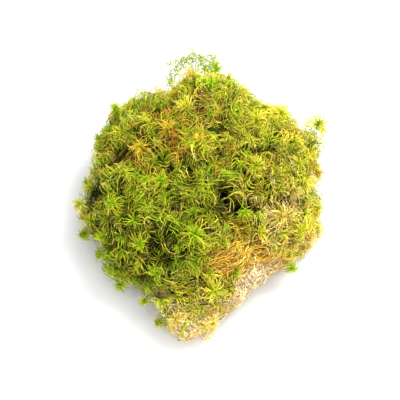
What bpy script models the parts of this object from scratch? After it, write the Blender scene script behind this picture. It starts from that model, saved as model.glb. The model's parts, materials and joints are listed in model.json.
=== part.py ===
"""A clump of live peat moss, picked and set down on its cut underside.

+X is to the right and +Y away from the usual viewer. The origin is on the
resting surface, under the middle of the clump. All sizes are in metres.
"""

import math
import random

import bmesh
import bpy
from mathutils import Matrix, Vector

# The packed mat of shoots
CORE_REACH = 0.0465  # from the middle to the edge, before the lobes
WAIST_HEIGHT = 0.0130  # where the mat is widest
CROWN_RISE = 0.0300  # the crown above the waist
UNDERSIDE_DROP = 0.0230  # depth of the underside before it is cut flat
SIDE_SQUARENESS = 2.5  # 2 makes the side an ellipse, and more makes it squarer
MAT_SEGMENTS = 30
MAT_RINGS = 11

# Lobes of the outline: azimuth and half width in degrees, and how far each reaches out
LOBES = (
    (31, 0.0100, 14),
    (90, 0.0105, 18),
    (134, 0.0095, 19),
    (188, 0.0060, 26),
    (226, 0.0060, 16),
    (267, 0.0150, 19),
    (348, 0.0055, 24),
)

# Hummocks and hollows of the top: x, y, half width and height
RELIEF = (
    (-0.004, 0.006, 0.020, 0.0035),
    (0.034, 0.020, 0.014, 0.0025),
    (-0.003, 0.052, 0.012, 0.0050),
    (0.018, -0.012, 0.0065, -0.0090),
    (-0.039, 0.015, 0.0060, -0.0050),
    (-0.024, -0.034, 0.011, -0.0045),
    (-0.019, -0.047, 0.008, -0.0060),
    (-0.005, -0.057, 0.012, -0.0120),
    (0.026, -0.038, 0.012, -0.0030),
)
RIPPLE_HEIGHT = 0.0016
RIPPLE_LENGTH = 0.0230
RIPPLE_SLANTS = (0.4, 0.3)  # how far the two sets of ripples are turned from the axes
FULL_RELIEF_RISE = 0.5  # the relief fades out between here and the waist, as a share of the crown

# How far apart, in degrees, the surface is measured to find which way it faces
SLOPE_STEP = 3.0

# Star heads fused to the mat
FUSED_HEADS = 104
LOWEST_FUSED_CLIMB = -14.0  # degrees: how far down the side the heads grow
FUSED_SPREAD = 0.0078  # from the middle of a head to its branch tips
FUSED_RAYS = 6
HEAD_LIFT = 0.0012  # the middle of a head above the mat
CROWDING = 0.66  # a fused head closer than this share of both spreads is left out
SMOTHERED_CLIMB = 10.0  # on the bare straw side no head grows below this

# Bare straw side at the front right, in degrees of azimuth
STRAW_SIDE = (282, 338)

# Cut ends of the dead stems around the foot of the mat
STEM_ENDS = 26
STEM_END_LENGTH = 0.0140
STEM_END_RADIUS = 0.0015
STEM_END_TAPER = 0.35
STEM_END_SIDES = 4
STEM_END_CLIMBS = (-28.0, -12.0)  # degrees: how low on the side they stand
STEM_END_LEANS = (0.9, 2.0)  # upwards for each unit outwards
STEM_END_CLEAR = 0.0006  # the lowest that they reach, above the resting surface

# A star head's own proportions, as shares of its spread
VALLEY = 0.34  # the notches between the rays
CROWN = 0.30  # the height of the middle
DROOP = 0.26  # how far the tips of the rays hang
RAY_LENGTHS = (0.82, 1.08)  # the shortest and longest ray
RAY_DROOPS = (0.4, 1.2)  # the least and most that a ray hangs, as shares of the droop
UPRIGHT = 0.25  # how far a head leans from the mat's own direction to straight up
STEM_DEPTH = 0.0090
WIDE_HEAD = 0.0065  # heads wider than this have eight rays, and the others seven

# The clearance between a shoot and the pit that it grows from
CLEARANCE = 0.0004
PIT_SIDES = 8
PIT_HEADROOM = 0.0080

GOLDEN_ANGLE = 137.50776
SEED = 20

# Base colours, linear
TINTS = {
    "OLIVE": (0.30, 0.34, 0.045),
    "GREEN": (0.17, 0.33, 0.020),
    "YELLOW": (0.48, 0.46, 0.070),
    "AMBER": (0.52, 0.33, 0.060),
    "PALE": (0.60, 0.54, 0.20),
    "DARK_TWIG": (0.030, 0.018, 0.010),
}


# Shoots that stand clear: azimuth and climb in degrees, spread and lift in metres, tint.
# The first thirty-eight are where the photograph shows them, and the rest are round the back.
SHOOTS = (
    (94, 34, 0.0075, 0.0038, "AMBER"),
    (138, 34, 0.0060, 0.0060, "GREEN"),
    (40, 38, 0.0065, 0.0045, "YELLOW"),
    (30, 22, 0.0068, 0.0095, "YELLOW"),
    (9, 14, 0.0055, 0.0060, "AMBER"),
    (40, 60, 0.0080, 0.0038, "YELLOW"),
    (354, 42, 0.0075, 0.0038, "YELLOW"),
    (326, 45, 0.0080, 0.0038, "PALE"),
    (276, 80, 0.0070, 0.0038, "GREEN"),
    (266, 63, 0.0082, 0.0043, "GREEN"),
    (210, 73, 0.0070, 0.0033, "GREEN"),
    (202, 45, 0.0070, 0.0033, "GREEN"),
    (160, 24, 0.0060, 0.0045, "GREEN"),
    (198, -6, 0.0055, 0.0060, "GREEN"),
    (189, 16, 0.0055, 0.0055, "YELLOW"),
    (212, -4, 0.0055, 0.0030, "GREEN"),
    (247, 36, 0.0070, 0.0033, "GREEN"),
    (229, -9, 0.0055, 0.0045, "GREEN"),
    (276, 36, 0.0080, 0.0038, "YELLOW"),
    (319, 0, 0.0045, 0.0075, "GREEN"),
    (256, -12, 0.0040, 0.0080, "GREEN"),
    (246, -2, 0.0040, 0.0070, "GREEN"),
    (261, 8, 0.0050, 0.0050, "PALE"),
    (273, 2, 0.0050, 0.0045, "PALE"),
    (104, 66, 0.0072, 0.0033, "YELLOW"),
    (78, 38, 0.0065, 0.0030, "GREEN"),
    (60, 35, 0.0060, 0.0045, "YELLOW"),
    (148, 46, 0.0070, 0.0033, "YELLOW"),
    (95, 87, 0.0075, 0.0033, "AMBER"),
    (309, 60, 0.0055, 0.0043, "GREEN"),
    (253, 13, 0.0060, 0.0030, "YELLOW"),
    (19, 4, 0.0050, 0.0050, "YELLOW"),
    (230, 46, 0.0072, 0.0033, "GREEN"),
    (356, 71, 0.0072, 0.0033, "YELLOW"),
    (166, 64, 0.0070, 0.0033, "AMBER"),
    (135, 76, 0.0070, 0.0033, "AMBER"),
    (348, 17, 0.0060, 0.0030, "YELLOW"),
    (336, 5, 0.0060, 0.0030, "PALE"),
    (48, 10, 0.0065, 0.0040, "YELLOW"),
    (72, 8, 0.0065, 0.0040, "GREEN"),
    (110, 12, 0.0068, 0.0035, "GREEN"),
    (126, 2, 0.0060, 0.0040, "YELLOW"),
    (150, -4, 0.0060, 0.0040, "GREEN"),
    (172, -2, 0.0060, 0.0035, "GREEN"),
)

# Arching shoots of the spray at the back: root azimuth and climb, tip place, head spread
SPRAY_SHOOTS = (
    (84, 8, (0.0058, 0.0620, 0.0365), 0.0042),
    (91, 4, (-0.0058, 0.0690, 0.0345), 0.0048),
    (98, 12, (-0.0160, 0.0640, 0.0300), 0.0045),
)
SPRAY_STEM_RADIUS = 0.0006
SPRAY_STEM_TAPER = 0.8
SPRAY_SOCKET_RADIUS = 0.0014
SPRAY_SOCKET_REACH = 0.0080  # how far the socket is cut out through the mat's side
SPRAY_ROOT_DEPTH = 0.0050
SPRAY_STRAIGHT = 0.0040  # how far the stem runs straight out of the mat
SPRAY_STEPS = 7
SPRAY_BOW = 0.55  # how far the arch bows out, as a share of its span
SPRAY_HEAD_RAYS = 6
SPRAY_HEAD_DEPTH = 0.5  # shares of the head's spread, as the next two
SPRAY_HEAD_DROOP = 0.5
SPRAY_HEAD_VALLEY = 0.30
SPRAY_BRANCHES = 3  # thin side branches on each arching stem
SPRAY_FIRST_BRANCH = 3  # the point of the arch that the first one grows from
SPRAY_BRANCH_LENGTH = 0.0060
SPRAY_BRANCH_RADIUS = 0.0007

# A dark twig caught in the straw at the front
TWIG_PLACE = (272, 27)
TWIG_HEADING = (1.0, 0.12, 0.0)
TWIG_LENGTH = 0.0055
TWIG_RADIUS = 0.00035
TWIG_TAPER = 0.7
TWIG_BENDS = ((-0.5, 0.0), (-0.2, 0.05), (0.1, 0.03), (0.3, -0.02), (0.5, 0.0))  # of its length
TWIG_BED_RADIUS = 0.0013


def wrapped(angle):
    """Returns an angle in degrees between -180 and 180."""
    return (angle + 180.0) % 360.0 - 180.0


def outline_reach(azimuth):
    """Returns how far the mat reaches from the middle, seen from above."""
    reach = CORE_REACH
    for middle, extra, half_width in LOBES:
        apart = wrapped(azimuth - middle) / half_width
        reach += extra * math.exp(-apart * apart)
    return reach


def relief(x, y):
    """Returns the height that the hummocks, hollows and ripples add."""
    height = 0.0
    for middle_x, middle_y, half_width, rise in RELIEF:
        apart = math.hypot(x - middle_x, y - middle_y) / half_width
        height += rise * math.exp(-apart * apart)
    turns = 2.0 * math.pi / RIPPLE_LENGTH
    across = math.sin(turns * (x + RIPPLE_SLANTS[0] * y))
    along = math.sin(turns * (y - RIPPLE_SLANTS[1] * x))
    return height + RIPPLE_HEIGHT * across * along


def core_point(azimuth, climb):
    """Returns the mat's surface at an azimuth and at a climb from its waist, in degrees."""
    rise = math.sin(math.radians(climb))
    share = (1.0 - min(abs(rise), 1.0) ** SIDE_SQUARENESS) ** (1.0 / SIDE_SQUARENESS)
    reach = outline_reach(azimuth) * share
    x = reach * math.cos(math.radians(azimuth))
    y = reach * math.sin(math.radians(azimuth))
    depth = CROWN_RISE if rise > 0.0 else UNDERSIDE_DROP
    on_top = min(max(rise / FULL_RELIEF_RISE, 0.0), 1.0)
    return Vector((x, y, WAIST_HEIGHT + depth * rise + relief(x, y) * on_top))


def outward(azimuth, climb):
    """Returns the direction square to the mat's surface."""
    climb = min(climb, 90.0 - 1.5 * SLOPE_STEP)
    along = core_point(azimuth + SLOPE_STEP, climb) - core_point(azimuth - SLOPE_STEP, climb)
    up = core_point(azimuth, climb + SLOPE_STEP) - core_point(azimuth, climb - SLOPE_STEP)
    return along.cross(up).normalized()


def growing_frame(azimuth, climb, lift, spin):
    """Returns the matrix that stands a head on the mat, leaning a little towards the light."""
    square = outward(azimuth, climb)
    axis = (square * (1.0 - UPRIGHT) + Vector((0.0, 0.0, UPRIGHT))).normalized()
    turn = axis.to_track_quat("Z", "Y").to_matrix().to_4x4()
    place = core_point(azimuth, climb) + square * lift
    return Matrix.Translation(place) @ turn @ Matrix.Rotation(spin, 4, "Z")


def spread_sites(count, lowest_climb, steps=240):
    """Yields the azimuth and climb of places spread evenly over the mat's top and side."""
    climbs = [90.0 - (90.0 - lowest_climb) * i / steps for i in range(steps + 1)]
    profile = [core_point(0.0, climb) for climb in climbs]
    areas = [0.0]
    for above, below in zip(profile, profile[1:]):
        girth = 0.5 * (math.hypot(above.x, above.y) + math.hypot(below.x, below.y))
        areas.append(areas[-1] + girth * (below - above).length)
    step = 0
    for number in range(count):
        wanted = (number + 0.5) / count * areas[-1]
        while areas[step + 1] < wanted:
            step += 1
        part = (wanted - areas[step]) / (areas[step + 1] - areas[step])
        climb = climbs[step] + part * (climbs[step + 1] - climbs[step])
        yield wrapped(number * GOLDEN_ANGLE), climb


def finish(name, tint, roughness):
    """Returns a Principled material of one tint."""
    material = bpy.data.materials.get(name) or bpy.data.materials.new(name)
    material.use_nodes = True
    shader = material.node_tree.nodes["Principled BSDF"]
    shader.inputs["Base Color"].default_value = (*tint, 1.0)
    shader.inputs["Roughness"].default_value = roughness
    shader.inputs["Metallic"].default_value = 0.0
    material.diffuse_color = (*tint, 1.0)
    return material


def add_object(name, bm, collection, material=None, matrix=None):
    """Turns a bmesh into a placed object and frees it."""
    bmesh.ops.remove_doubles(bm, verts=bm.verts, dist=1e-6)
    bmesh.ops.recalc_face_normals(bm, faces=bm.faces)
    mesh = bpy.data.meshes.new(name)
    bm.to_mesh(mesh)
    bm.free()
    obj = bpy.data.objects.new(name, mesh)
    if matrix is not None:
        obj.matrix_world = matrix
    if material is not None:
        mesh.materials.append(material)
    collection.objects.link(obj)
    return obj


def make_cutter(obj):
    """Marks an object as one that shapes others and isn't a part itself."""
    obj.hide_render = True
    obj.display_type = "WIRE"
    return obj


def mat_core(name, collection, material):
    """The lumpy mound of packed shoots, from a sphere that is shaped and cut flat below."""
    bm = bmesh.new()
    bmesh.ops.create_uvsphere(
        bm, u_segments=MAT_SEGMENTS, v_segments=MAT_RINGS, radius=1.0
    )
    for vert in bm.verts:
        azimuth = math.degrees(math.atan2(vert.co.y, vert.co.x))
        climb = math.degrees(math.asin(max(-1.0, min(1.0, vert.co.z))))
        vert.co = core_point(azimuth, climb)
    everything = bm.verts[:] + bm.edges[:] + bm.faces[:]
    cut = bmesh.ops.bisect_plane(
        bm, geom=everything, plane_co=(0, 0, 0), plane_no=(0, 0, -1), clear_outer=True
    )
    rim = [item for item in cut["geom_cut"] if isinstance(item, bmesh.types.BMEdge)]
    bmesh.ops.contextual_create(bm, geom=rim)
    return add_object(name, bm, collection, material)


def star_mesh(spread, rays, depth, rng, droop=DROOP, valley=VALLEY):
    """A star head on its tapered stem: pointed rays with a ridge along each."""
    bm = bmesh.new()
    bmesh.ops.create_cone(
        bm, cap_ends=True, cap_tris=True, segments=2 * rays, radius1=0.0, radius2=spread,
        depth=depth,
    )
    bmesh.ops.remove_doubles(bm, verts=bm.verts, dist=1e-6)
    tips = [(rng.uniform(*RAY_LENGTHS), rng.uniform(*RAY_DROOPS)) for _ in range(rays)]
    for vert in bm.verts:
        out = math.hypot(vert.co.x, vert.co.y)
        if out < 1e-5:
            vert.co.z = CROWN * spread if vert.co.z > 0.0 else -depth
            continue
        corner = round(math.atan2(vert.co.x, vert.co.y) / (math.pi / rays)) % (2 * rays)
        if corner % 2:
            length, sink = valley, 0.0
        else:
            length, sink = tips[corner // 2][0], tips[corner // 2][1] * droop
        vert.co.x *= length
        vert.co.y *= length
        vert.co.z = -sink * spread
    return bm


def pit_mesh(spread, depth):
    """The space that a star head and its stem stand in, open above the head."""
    bm = bmesh.new()
    widest = (RAY_LENGTHS[1] * spread + CLEARANCE) / math.cos(math.pi / PIT_SIDES)
    lowest_tip = -RAY_DROOPS[1] * DROOP * spread - CLEARANCE
    bottom = -depth - 3.0 * CLEARANCE
    bmesh.ops.create_cone(
        bm, cap_ends=True, segments=PIT_SIDES, radius1=2.0 * CLEARANCE, radius2=widest,
        depth=lowest_tip - bottom,
        matrix=Matrix.Translation((0.0, 0.0, 0.5 * (lowest_tip + bottom))),
    )
    top = max(bm.faces, key=lambda face: face.calc_center_median().z)
    raised = bmesh.ops.extrude_face_region(bm, geom=[top])["geom"]
    bmesh.ops.delete(bm, geom=[top], context="FACES_ONLY")
    bmesh.ops.translate(
        bm,
        verts=[item for item in raised if isinstance(item, bmesh.types.BMVert)],
        vec=(0.0, 0.0, PIT_HEADROOM),
    )
    return bm


def stem_end_mesh(length, radius):
    """The cut end of a dead stem: a slender cone that widens a little downwards."""
    bm = bmesh.new()
    bmesh.ops.create_cone(
        bm, cap_ends=True, segments=STEM_END_SIDES, radius1=radius,
        radius2=STEM_END_TAPER * radius, depth=length,
    )
    return bm


def boolean(obj, operation, cutters):
    """Joins a collection of objects to a part, or cuts them from it."""
    modifier = obj.modifiers.new(operation.title(), "BOOLEAN")
    modifier.operation = operation
    modifier.operand_type = "COLLECTION"
    modifier.collection = cutters
    modifier.solver = "EXACT"


def bake_shape(obj):
    """Applies an object's modifiers, in triangles, and keeps its one main body."""
    graph = bpy.context.evaluated_depsgraph_get()
    shaped = bpy.data.meshes.new_from_object(obj.evaluated_get(graph))
    obj.modifiers.clear()
    bm = bmesh.new()
    bm.from_mesh(shaped)
    bmesh.ops.triangulate(bm, faces=bm.faces)
    islands = []
    waiting = set(bm.verts)
    while waiting:
        island, front = set(), [waiting.pop()]
        while front:
            vert = front.pop()
            island.add(vert)
            for edge in vert.link_edges:
                other = edge.other_vert(vert)
                if other in waiting:
                    waiting.discard(other)
                    front.append(other)
        islands.append(island)
    islands.sort(key=len)
    for island in islands[:-1]:
        bmesh.ops.delete(bm, geom=list(island), context="VERTS")
    bm.to_mesh(shaped)
    bm.free()
    obj.data = shaped


def curve_mesh(points, radius, taper=1.0):
    """A closed tube along a line of points, thinning to a share of its radius."""
    curve = bpy.data.curves.new("stem_line", "CURVE")
    curve.dimensions = "3D"
    curve.bevel_depth = radius
    curve.bevel_resolution = 1
    curve.use_fill_caps = True
    spline = curve.splines.new("POLY")
    spline.points.add(len(points) - 1)
    for number, (target, place) in enumerate(zip(spline.points, points)):
        target.co = (*place, 1.0)
        target.radius = 1.0 + (taper - 1.0) * number / (len(points) - 1)
    line = bpy.data.objects.new("stem_line", curve)
    bpy.context.scene.collection.objects.link(line)
    graph = bpy.context.evaluated_depsgraph_get()
    mesh = bpy.data.meshes.new_from_object(line.evaluated_get(graph))
    bm = bmesh.new()
    bm.from_mesh(mesh)
    bm.transform(line.matrix_world)
    bpy.data.objects.remove(line)
    bmesh.ops.remove_doubles(bm, verts=bm.verts, dist=1e-6)
    return bm


def arch(root, heading, tip):
    """Returns points that leave the root straight along a heading and bend over to a tip."""
    start = root + heading * SPRAY_STRAIGHT
    bend = start + heading * SPRAY_BOW * (tip - start).length
    points = [root - heading * SPRAY_ROOT_DEPTH, start]
    for step in range(1, SPRAY_STEPS + 1):
        part = step / SPRAY_STEPS
        first, second = start.lerp(bend, part), bend.lerp(tip, part)
        points.append(first.lerp(second, part))
    return points


def clear_scene():
    """Removes what the scene starts with."""
    for obj in list(bpy.data.objects):
        bpy.data.objects.remove(obj)


def new_collection(name):
    """Makes a collection in the scene."""
    collection = bpy.data.collections.new(name)
    bpy.context.scene.collection.children.link(collection)
    return collection


def build_shoots(parts, pits, rng):
    """Builds the shoots that stand clear, with the pit that each grows from."""
    places = []
    for number, (azimuth, climb, spread, lift, tint) in enumerate(SHOOTS, start=1):
        frame = growing_frame(azimuth, climb, lift, rng.uniform(0.0, math.tau))
        rays = 8 if spread > WIDE_HEAD else 7
        bm = star_mesh(spread, rays, STEM_DEPTH, rng)
        name = f"shoot_{number:02d}"
        material = finish(f"living_moss_{tint.lower()}", TINTS[tint], 0.6)
        add_object(name, bm, parts, material, frame)
        pit = add_object(f"pit_{number:02d}", pit_mesh(spread, STEM_DEPTH), pits, None, frame)
        make_cutter(pit)
        places.append((frame.translation.copy(), spread))
    return places


def build_fused_heads(fused, places, rng):
    """Builds the star heads that are one with the mat, away from the shoots that stand clear."""
    for number, (azimuth, climb) in enumerate(spread_sites(FUSED_HEADS, LOWEST_FUSED_CLIMB)):
        straw = STRAW_SIDE[0] < azimuth % 360.0 < STRAW_SIDE[1]
        frame = growing_frame(azimuth, climb, HEAD_LIFT, rng.uniform(0.0, math.tau))
        spread = FUSED_SPREAD * rng.uniform(0.85, 1.15)
        bm = star_mesh(spread, FUSED_RAYS, STEM_DEPTH, rng)
        crowded = any(
            (frame.translation - place).length < CROWDING * (spread + other)
            for place, other in places
        )
        if crowded or (straw and climb < SMOTHERED_CLIMB):
            bm.free()
            continue
        make_cutter(add_object(f"fused_head_{number:03d}", bm, fused, None, frame))


def build_stem_ends(fused, rng):
    """Builds the cut stem ends that stand out round the foot of the mat."""
    for number in range(STEM_ENDS):
        azimuth = 360.0 * (number + rng.uniform(-0.3, 0.3)) / STEM_ENDS
        foot = core_point(azimuth, rng.uniform(*STEM_END_CLIMBS))
        square = outward(azimuth, max(STEM_END_CLIMBS))
        lean = Vector((square.x, square.y, rng.uniform(*STEM_END_LEANS))).normalized()
        turn = lean.to_track_quat("Z", "Y").to_matrix().to_4x4()
        matrix = Matrix.Translation(foot) @ turn
        radius = STEM_END_RADIUS * rng.uniform(0.8, 1.2)
        length = STEM_END_LENGTH * rng.uniform(0.7, 1.0)
        bm = stem_end_mesh(length, radius)
        bmesh.ops.transform(bm, matrix=matrix, verts=bm.verts)
        sunk = max(0.0, STEM_END_CLEAR - min(vert.co.z for vert in bm.verts))
        bmesh.ops.translate(bm, verts=bm.verts, vec=(0.0, 0.0, sunk))
        make_cutter(add_object(f"stem_end_{number:02d}", bm, fused))


def build_spray(parts, pits, rng):
    """Builds the arching shoots at the back, each a stem with thin branches and a head."""
    material = finish("living_moss_green", TINTS["GREEN"], 0.6)
    for number, (azimuth, climb, tip, spread) in enumerate(SPRAY_SHOOTS, start=1):
        root = core_point(azimuth, climb)
        heading = outward(azimuth, climb)
        points = arch(root, heading, Vector(tip))
        line = curve_mesh(points, SPRAY_STEM_RADIUS, SPRAY_STEM_TAPER)
        stem = add_object(f"spray_shoot_{number}", line, parts, material)
        growth = new_collection(f"joined_to_spray_{number}")
        towards = (points[-1] - points[-2]).normalized().to_track_quat("Z", "Y")
        frame = Matrix.Translation(points[-1]) @ towards.to_matrix().to_4x4()
        head = star_mesh(
            spread, SPRAY_HEAD_RAYS, SPRAY_HEAD_DEPTH * spread, rng,
            droop=SPRAY_HEAD_DROOP, valley=SPRAY_HEAD_VALLEY,
        )
        make_cutter(add_object(f"spray_head_{number}", head, growth, None, frame))
        for branch in range(SPRAY_BRANCHES):
            place = points[SPRAY_FIRST_BRANCH + branch]
            side = Vector((rng.uniform(-1, 1), rng.uniform(-0.3, 0.6), rng.uniform(-0.7, 0.3)))
            side.normalize()
            bm = stem_end_mesh(SPRAY_BRANCH_LENGTH, SPRAY_BRANCH_RADIUS)
            turn = side.to_track_quat("Z", "Y").to_matrix().to_4x4()
            middle = place + side * 0.5 * (SPRAY_BRANCH_LENGTH - SPRAY_STEM_RADIUS)
            cone = add_object(
                f"spray_branch_{number}_{branch}", bm, growth, None,
                Matrix.Translation(middle) @ turn,
            )
            make_cutter(cone)
        boolean(stem, "UNION", growth)
        bake_shape(stem)
        for piece in list(growth.objects):
            bpy.data.objects.remove(piece)
        socket = curve_mesh(
            [root - heading * (SPRAY_ROOT_DEPTH + CLEARANCE), root + heading * SPRAY_SOCKET_REACH],
            SPRAY_SOCKET_RADIUS,
        )
        make_cutter(add_object(f"spray_socket_{number}", socket, pits))


def build_twig(parts, pits):
    """Builds the bent dark twig, and the shallow bed in the straw that it lies in."""
    middle = core_point(*TWIG_PLACE)
    square = outward(*TWIG_PLACE)
    along = Vector(TWIG_HEADING)
    along = (along - square * along.dot(square)).normalized()
    rest = middle + square * (TWIG_RADIUS + CLEARANCE)
    sideways = square.cross(along)
    points = [
        rest + along * part * TWIG_LENGTH + sideways * bow * TWIG_LENGTH
        for part, bow in TWIG_BENDS
    ]
    twig = curve_mesh(points, TWIG_RADIUS, TWIG_TAPER)
    add_object("twig", twig, parts, finish("dark_twig", TINTS["DARK_TWIG"], 0.8))
    ends = [points[0] - along * 2.0 * CLEARANCE, points[-1] + along * 2.0 * CLEARANCE]
    lifted = square * (TWIG_BED_RADIUS - TWIG_RADIUS - CLEARANCE)
    bed = curve_mesh([end + lifted for end in ends], TWIG_BED_RADIUS)
    make_cutter(add_object("twig_bed", bed, pits))


def centre_on_origin(parts):
    """Moves the parts so that the middle of the whole clump is over the origin."""
    corners = []
    for obj in parts.objects:
        corners += [obj.matrix_world @ vert.co for vert in obj.data.vertices]
    for axis in "xy":
        values = [getattr(corner, axis) for corner in corners]
        middle = 0.5 * (min(values) + max(values))
        for obj in parts.objects:
            setattr(obj.location, axis, getattr(obj.location, axis) - middle)


def main():
    """Builds the whole clump."""
    clear_scene()
    rng = random.Random(SEED)
    parts = new_collection("moss_clump")
    fused = new_collection("joined_to_mat")
    pits = new_collection("pits_in_mat")
    mat = mat_core("moss_mat", parts, finish("packed_moss_olive", TINTS["OLIVE"], 0.75))
    places = build_shoots(parts, pits, rng)
    build_spray(parts, pits, rng)
    build_twig(parts, pits)
    build_fused_heads(fused, places, rng)
    build_stem_ends(fused, rng)
    boolean(mat, "UNION", fused)
    boolean(mat, "DIFFERENCE", pits)
    bake_shape(mat)
    for cutter in list(fused.objects) + list(pits.objects):
        bpy.data.objects.remove(cutter)
    bpy.context.view_layer.update()
    centre_on_origin(parts)


if __name__ == "__main__":
    main()
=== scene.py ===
"""Dresses a clump of live peat moss: leafy star heads, tangled branches, straw and a dark bed.

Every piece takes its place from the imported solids. Sizes are in metres.
"""

import json
import logging
import math
from dataclasses import dataclass, field, replace
from enum import Enum
from functools import cache, partial
from typing import Callable, Iterable, Iterator, Sequence

import bmesh
import bpy
import numpy as np
from mathutils import Matrix, Vector, noise
from mathutils.bvhtree import BVHTree


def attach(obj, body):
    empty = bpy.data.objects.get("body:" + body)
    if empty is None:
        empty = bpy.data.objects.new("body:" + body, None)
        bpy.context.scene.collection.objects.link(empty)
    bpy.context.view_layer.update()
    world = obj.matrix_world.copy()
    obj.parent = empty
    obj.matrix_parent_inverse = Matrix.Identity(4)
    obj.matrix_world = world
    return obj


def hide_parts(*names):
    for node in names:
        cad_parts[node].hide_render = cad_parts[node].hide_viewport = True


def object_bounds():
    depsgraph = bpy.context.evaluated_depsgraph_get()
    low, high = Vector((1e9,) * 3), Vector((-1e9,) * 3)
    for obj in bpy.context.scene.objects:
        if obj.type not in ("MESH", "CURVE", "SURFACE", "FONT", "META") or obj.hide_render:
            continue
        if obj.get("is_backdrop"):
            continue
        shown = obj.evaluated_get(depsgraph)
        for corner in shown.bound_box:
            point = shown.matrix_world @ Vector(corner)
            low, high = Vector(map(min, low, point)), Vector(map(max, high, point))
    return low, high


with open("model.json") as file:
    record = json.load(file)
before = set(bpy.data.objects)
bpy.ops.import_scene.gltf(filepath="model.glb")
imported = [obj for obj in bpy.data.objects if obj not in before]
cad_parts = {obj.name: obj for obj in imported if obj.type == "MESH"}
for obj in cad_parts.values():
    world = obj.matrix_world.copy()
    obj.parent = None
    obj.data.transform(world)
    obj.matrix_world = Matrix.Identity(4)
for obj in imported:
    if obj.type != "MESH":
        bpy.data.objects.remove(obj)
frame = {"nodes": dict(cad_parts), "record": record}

CAD_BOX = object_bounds()
BODY = "root"
MM = 0.001
GOLDEN_ANGLE = math.radians(137.50776)
SEED = 11
NOISE_SEED = 4
UP = np.array((0.0, 0.0, 1.0))

# Sockets of a colour Mix node, whose names repeat
MIX_FACTOR, MIX_A, MIX_B, MIX_RESULT = 0, 6, 7, 2
# What each vertex of a branch carries for its material: tone includes painted light in the loose
# spots, and depth is the greater of painted shade and age
FACTS = ("along", "tone", "depth", "scorch")
# How bare the bed is, how dead, and how much painted shadow it takes in a gap
BED_FACTS = ("bare", "dead", "gap")

Array, Rng, Piece = np.ndarray, np.random.Generator, bpy.types.Object
Span, Triple = tuple[float, float], tuple[float, float, float]

log = logging.getLogger("moss_clump")


def mm(*sizes: float) -> tuple[float, ...]:
    """Turns millimetres into metres."""
    return tuple(size * MM for size in sizes)


def linear(hex_colour: str) -> tuple[float, float, float, float]:
    """Turns an sRGB hex colour into linear light.

    Args:
        hex_colour: Six hex digits, with or without a leading #.

    Returns:
        Red, green, blue and an alpha of 1.
    """
    digits = hex_colour.lstrip("#")
    shares = [int(digits[i:i + 2], 16) / 255.0 for i in (0, 2, 4)]
    light = [s / 12.92 if s <= 0.04045 else ((s + 0.055) / 1.055) ** 2.4 for s in shares]
    return (*light, 1.0)


def add_node(tree: bpy.types.NodeTree, kind: str, settings: dict | None = None,
             out: int | str = 0) -> bpy.types.NodeSocket | None:
    """Adds a node with its settings and links.

    Args:
        tree: The material's node tree.
        kind: The node's type name, without ShaderNode.
        settings: Values, or the sockets that feed them, by attribute name or by the input's name
            or number. Stops are a ramp's hex colours by their positions.
        out: The output that is wanted, by name or number.

    Returns:
        That output, if the node has any.
    """
    node = tree.nodes.new(f"ShaderNode{kind}")
    for name, value in (settings or {}).items():
        if name == "stops":
            elements = node.color_ramp.elements
            while len(elements) < len(value):
                elements.new(1.0)
            for element, (position, colour) in zip(elements, value.items()):
                element.position, element.color = position, linear(colour)
        elif not isinstance(name, int) and name not in node.inputs:
            setattr(node, name, value)
        elif isinstance(value, bpy.types.NodeSocket):
            tree.links.new(value, node.inputs[name])
        else:
            node.inputs[name].default_value = value
    return node.outputs[out] if node.outputs else None


def new_material(name: str) -> tuple[bpy.types.Material, Callable]:
    """Makes a material without nodes.

    Args:
        name: The material's name.

    Returns:
        The material, and add_node for its tree.
    """
    material = bpy.data.materials.new(name)
    material.use_nodes = True
    material.node_tree.nodes.clear()
    return material, partial(add_node, material.node_tree)


class Tint(Enum):
    """The colour that a plant has grown, with the record's slot for it."""

    GREEN = ("green", "green_moss")
    YELLOW = ("yellow", "yellow_moss")
    AMBER = ("amber", "amber_moss")
    PALE = ("pale", "pale_moss")
    OCHRE = ("ochre", "amber_moss")
    STRAW = ("straw", "packed_moss")
    WISP = ("wisp", "green_moss")

    @property
    def slot(self) -> str:
        """Returns the record's slot."""
        return self.value[1]


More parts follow.
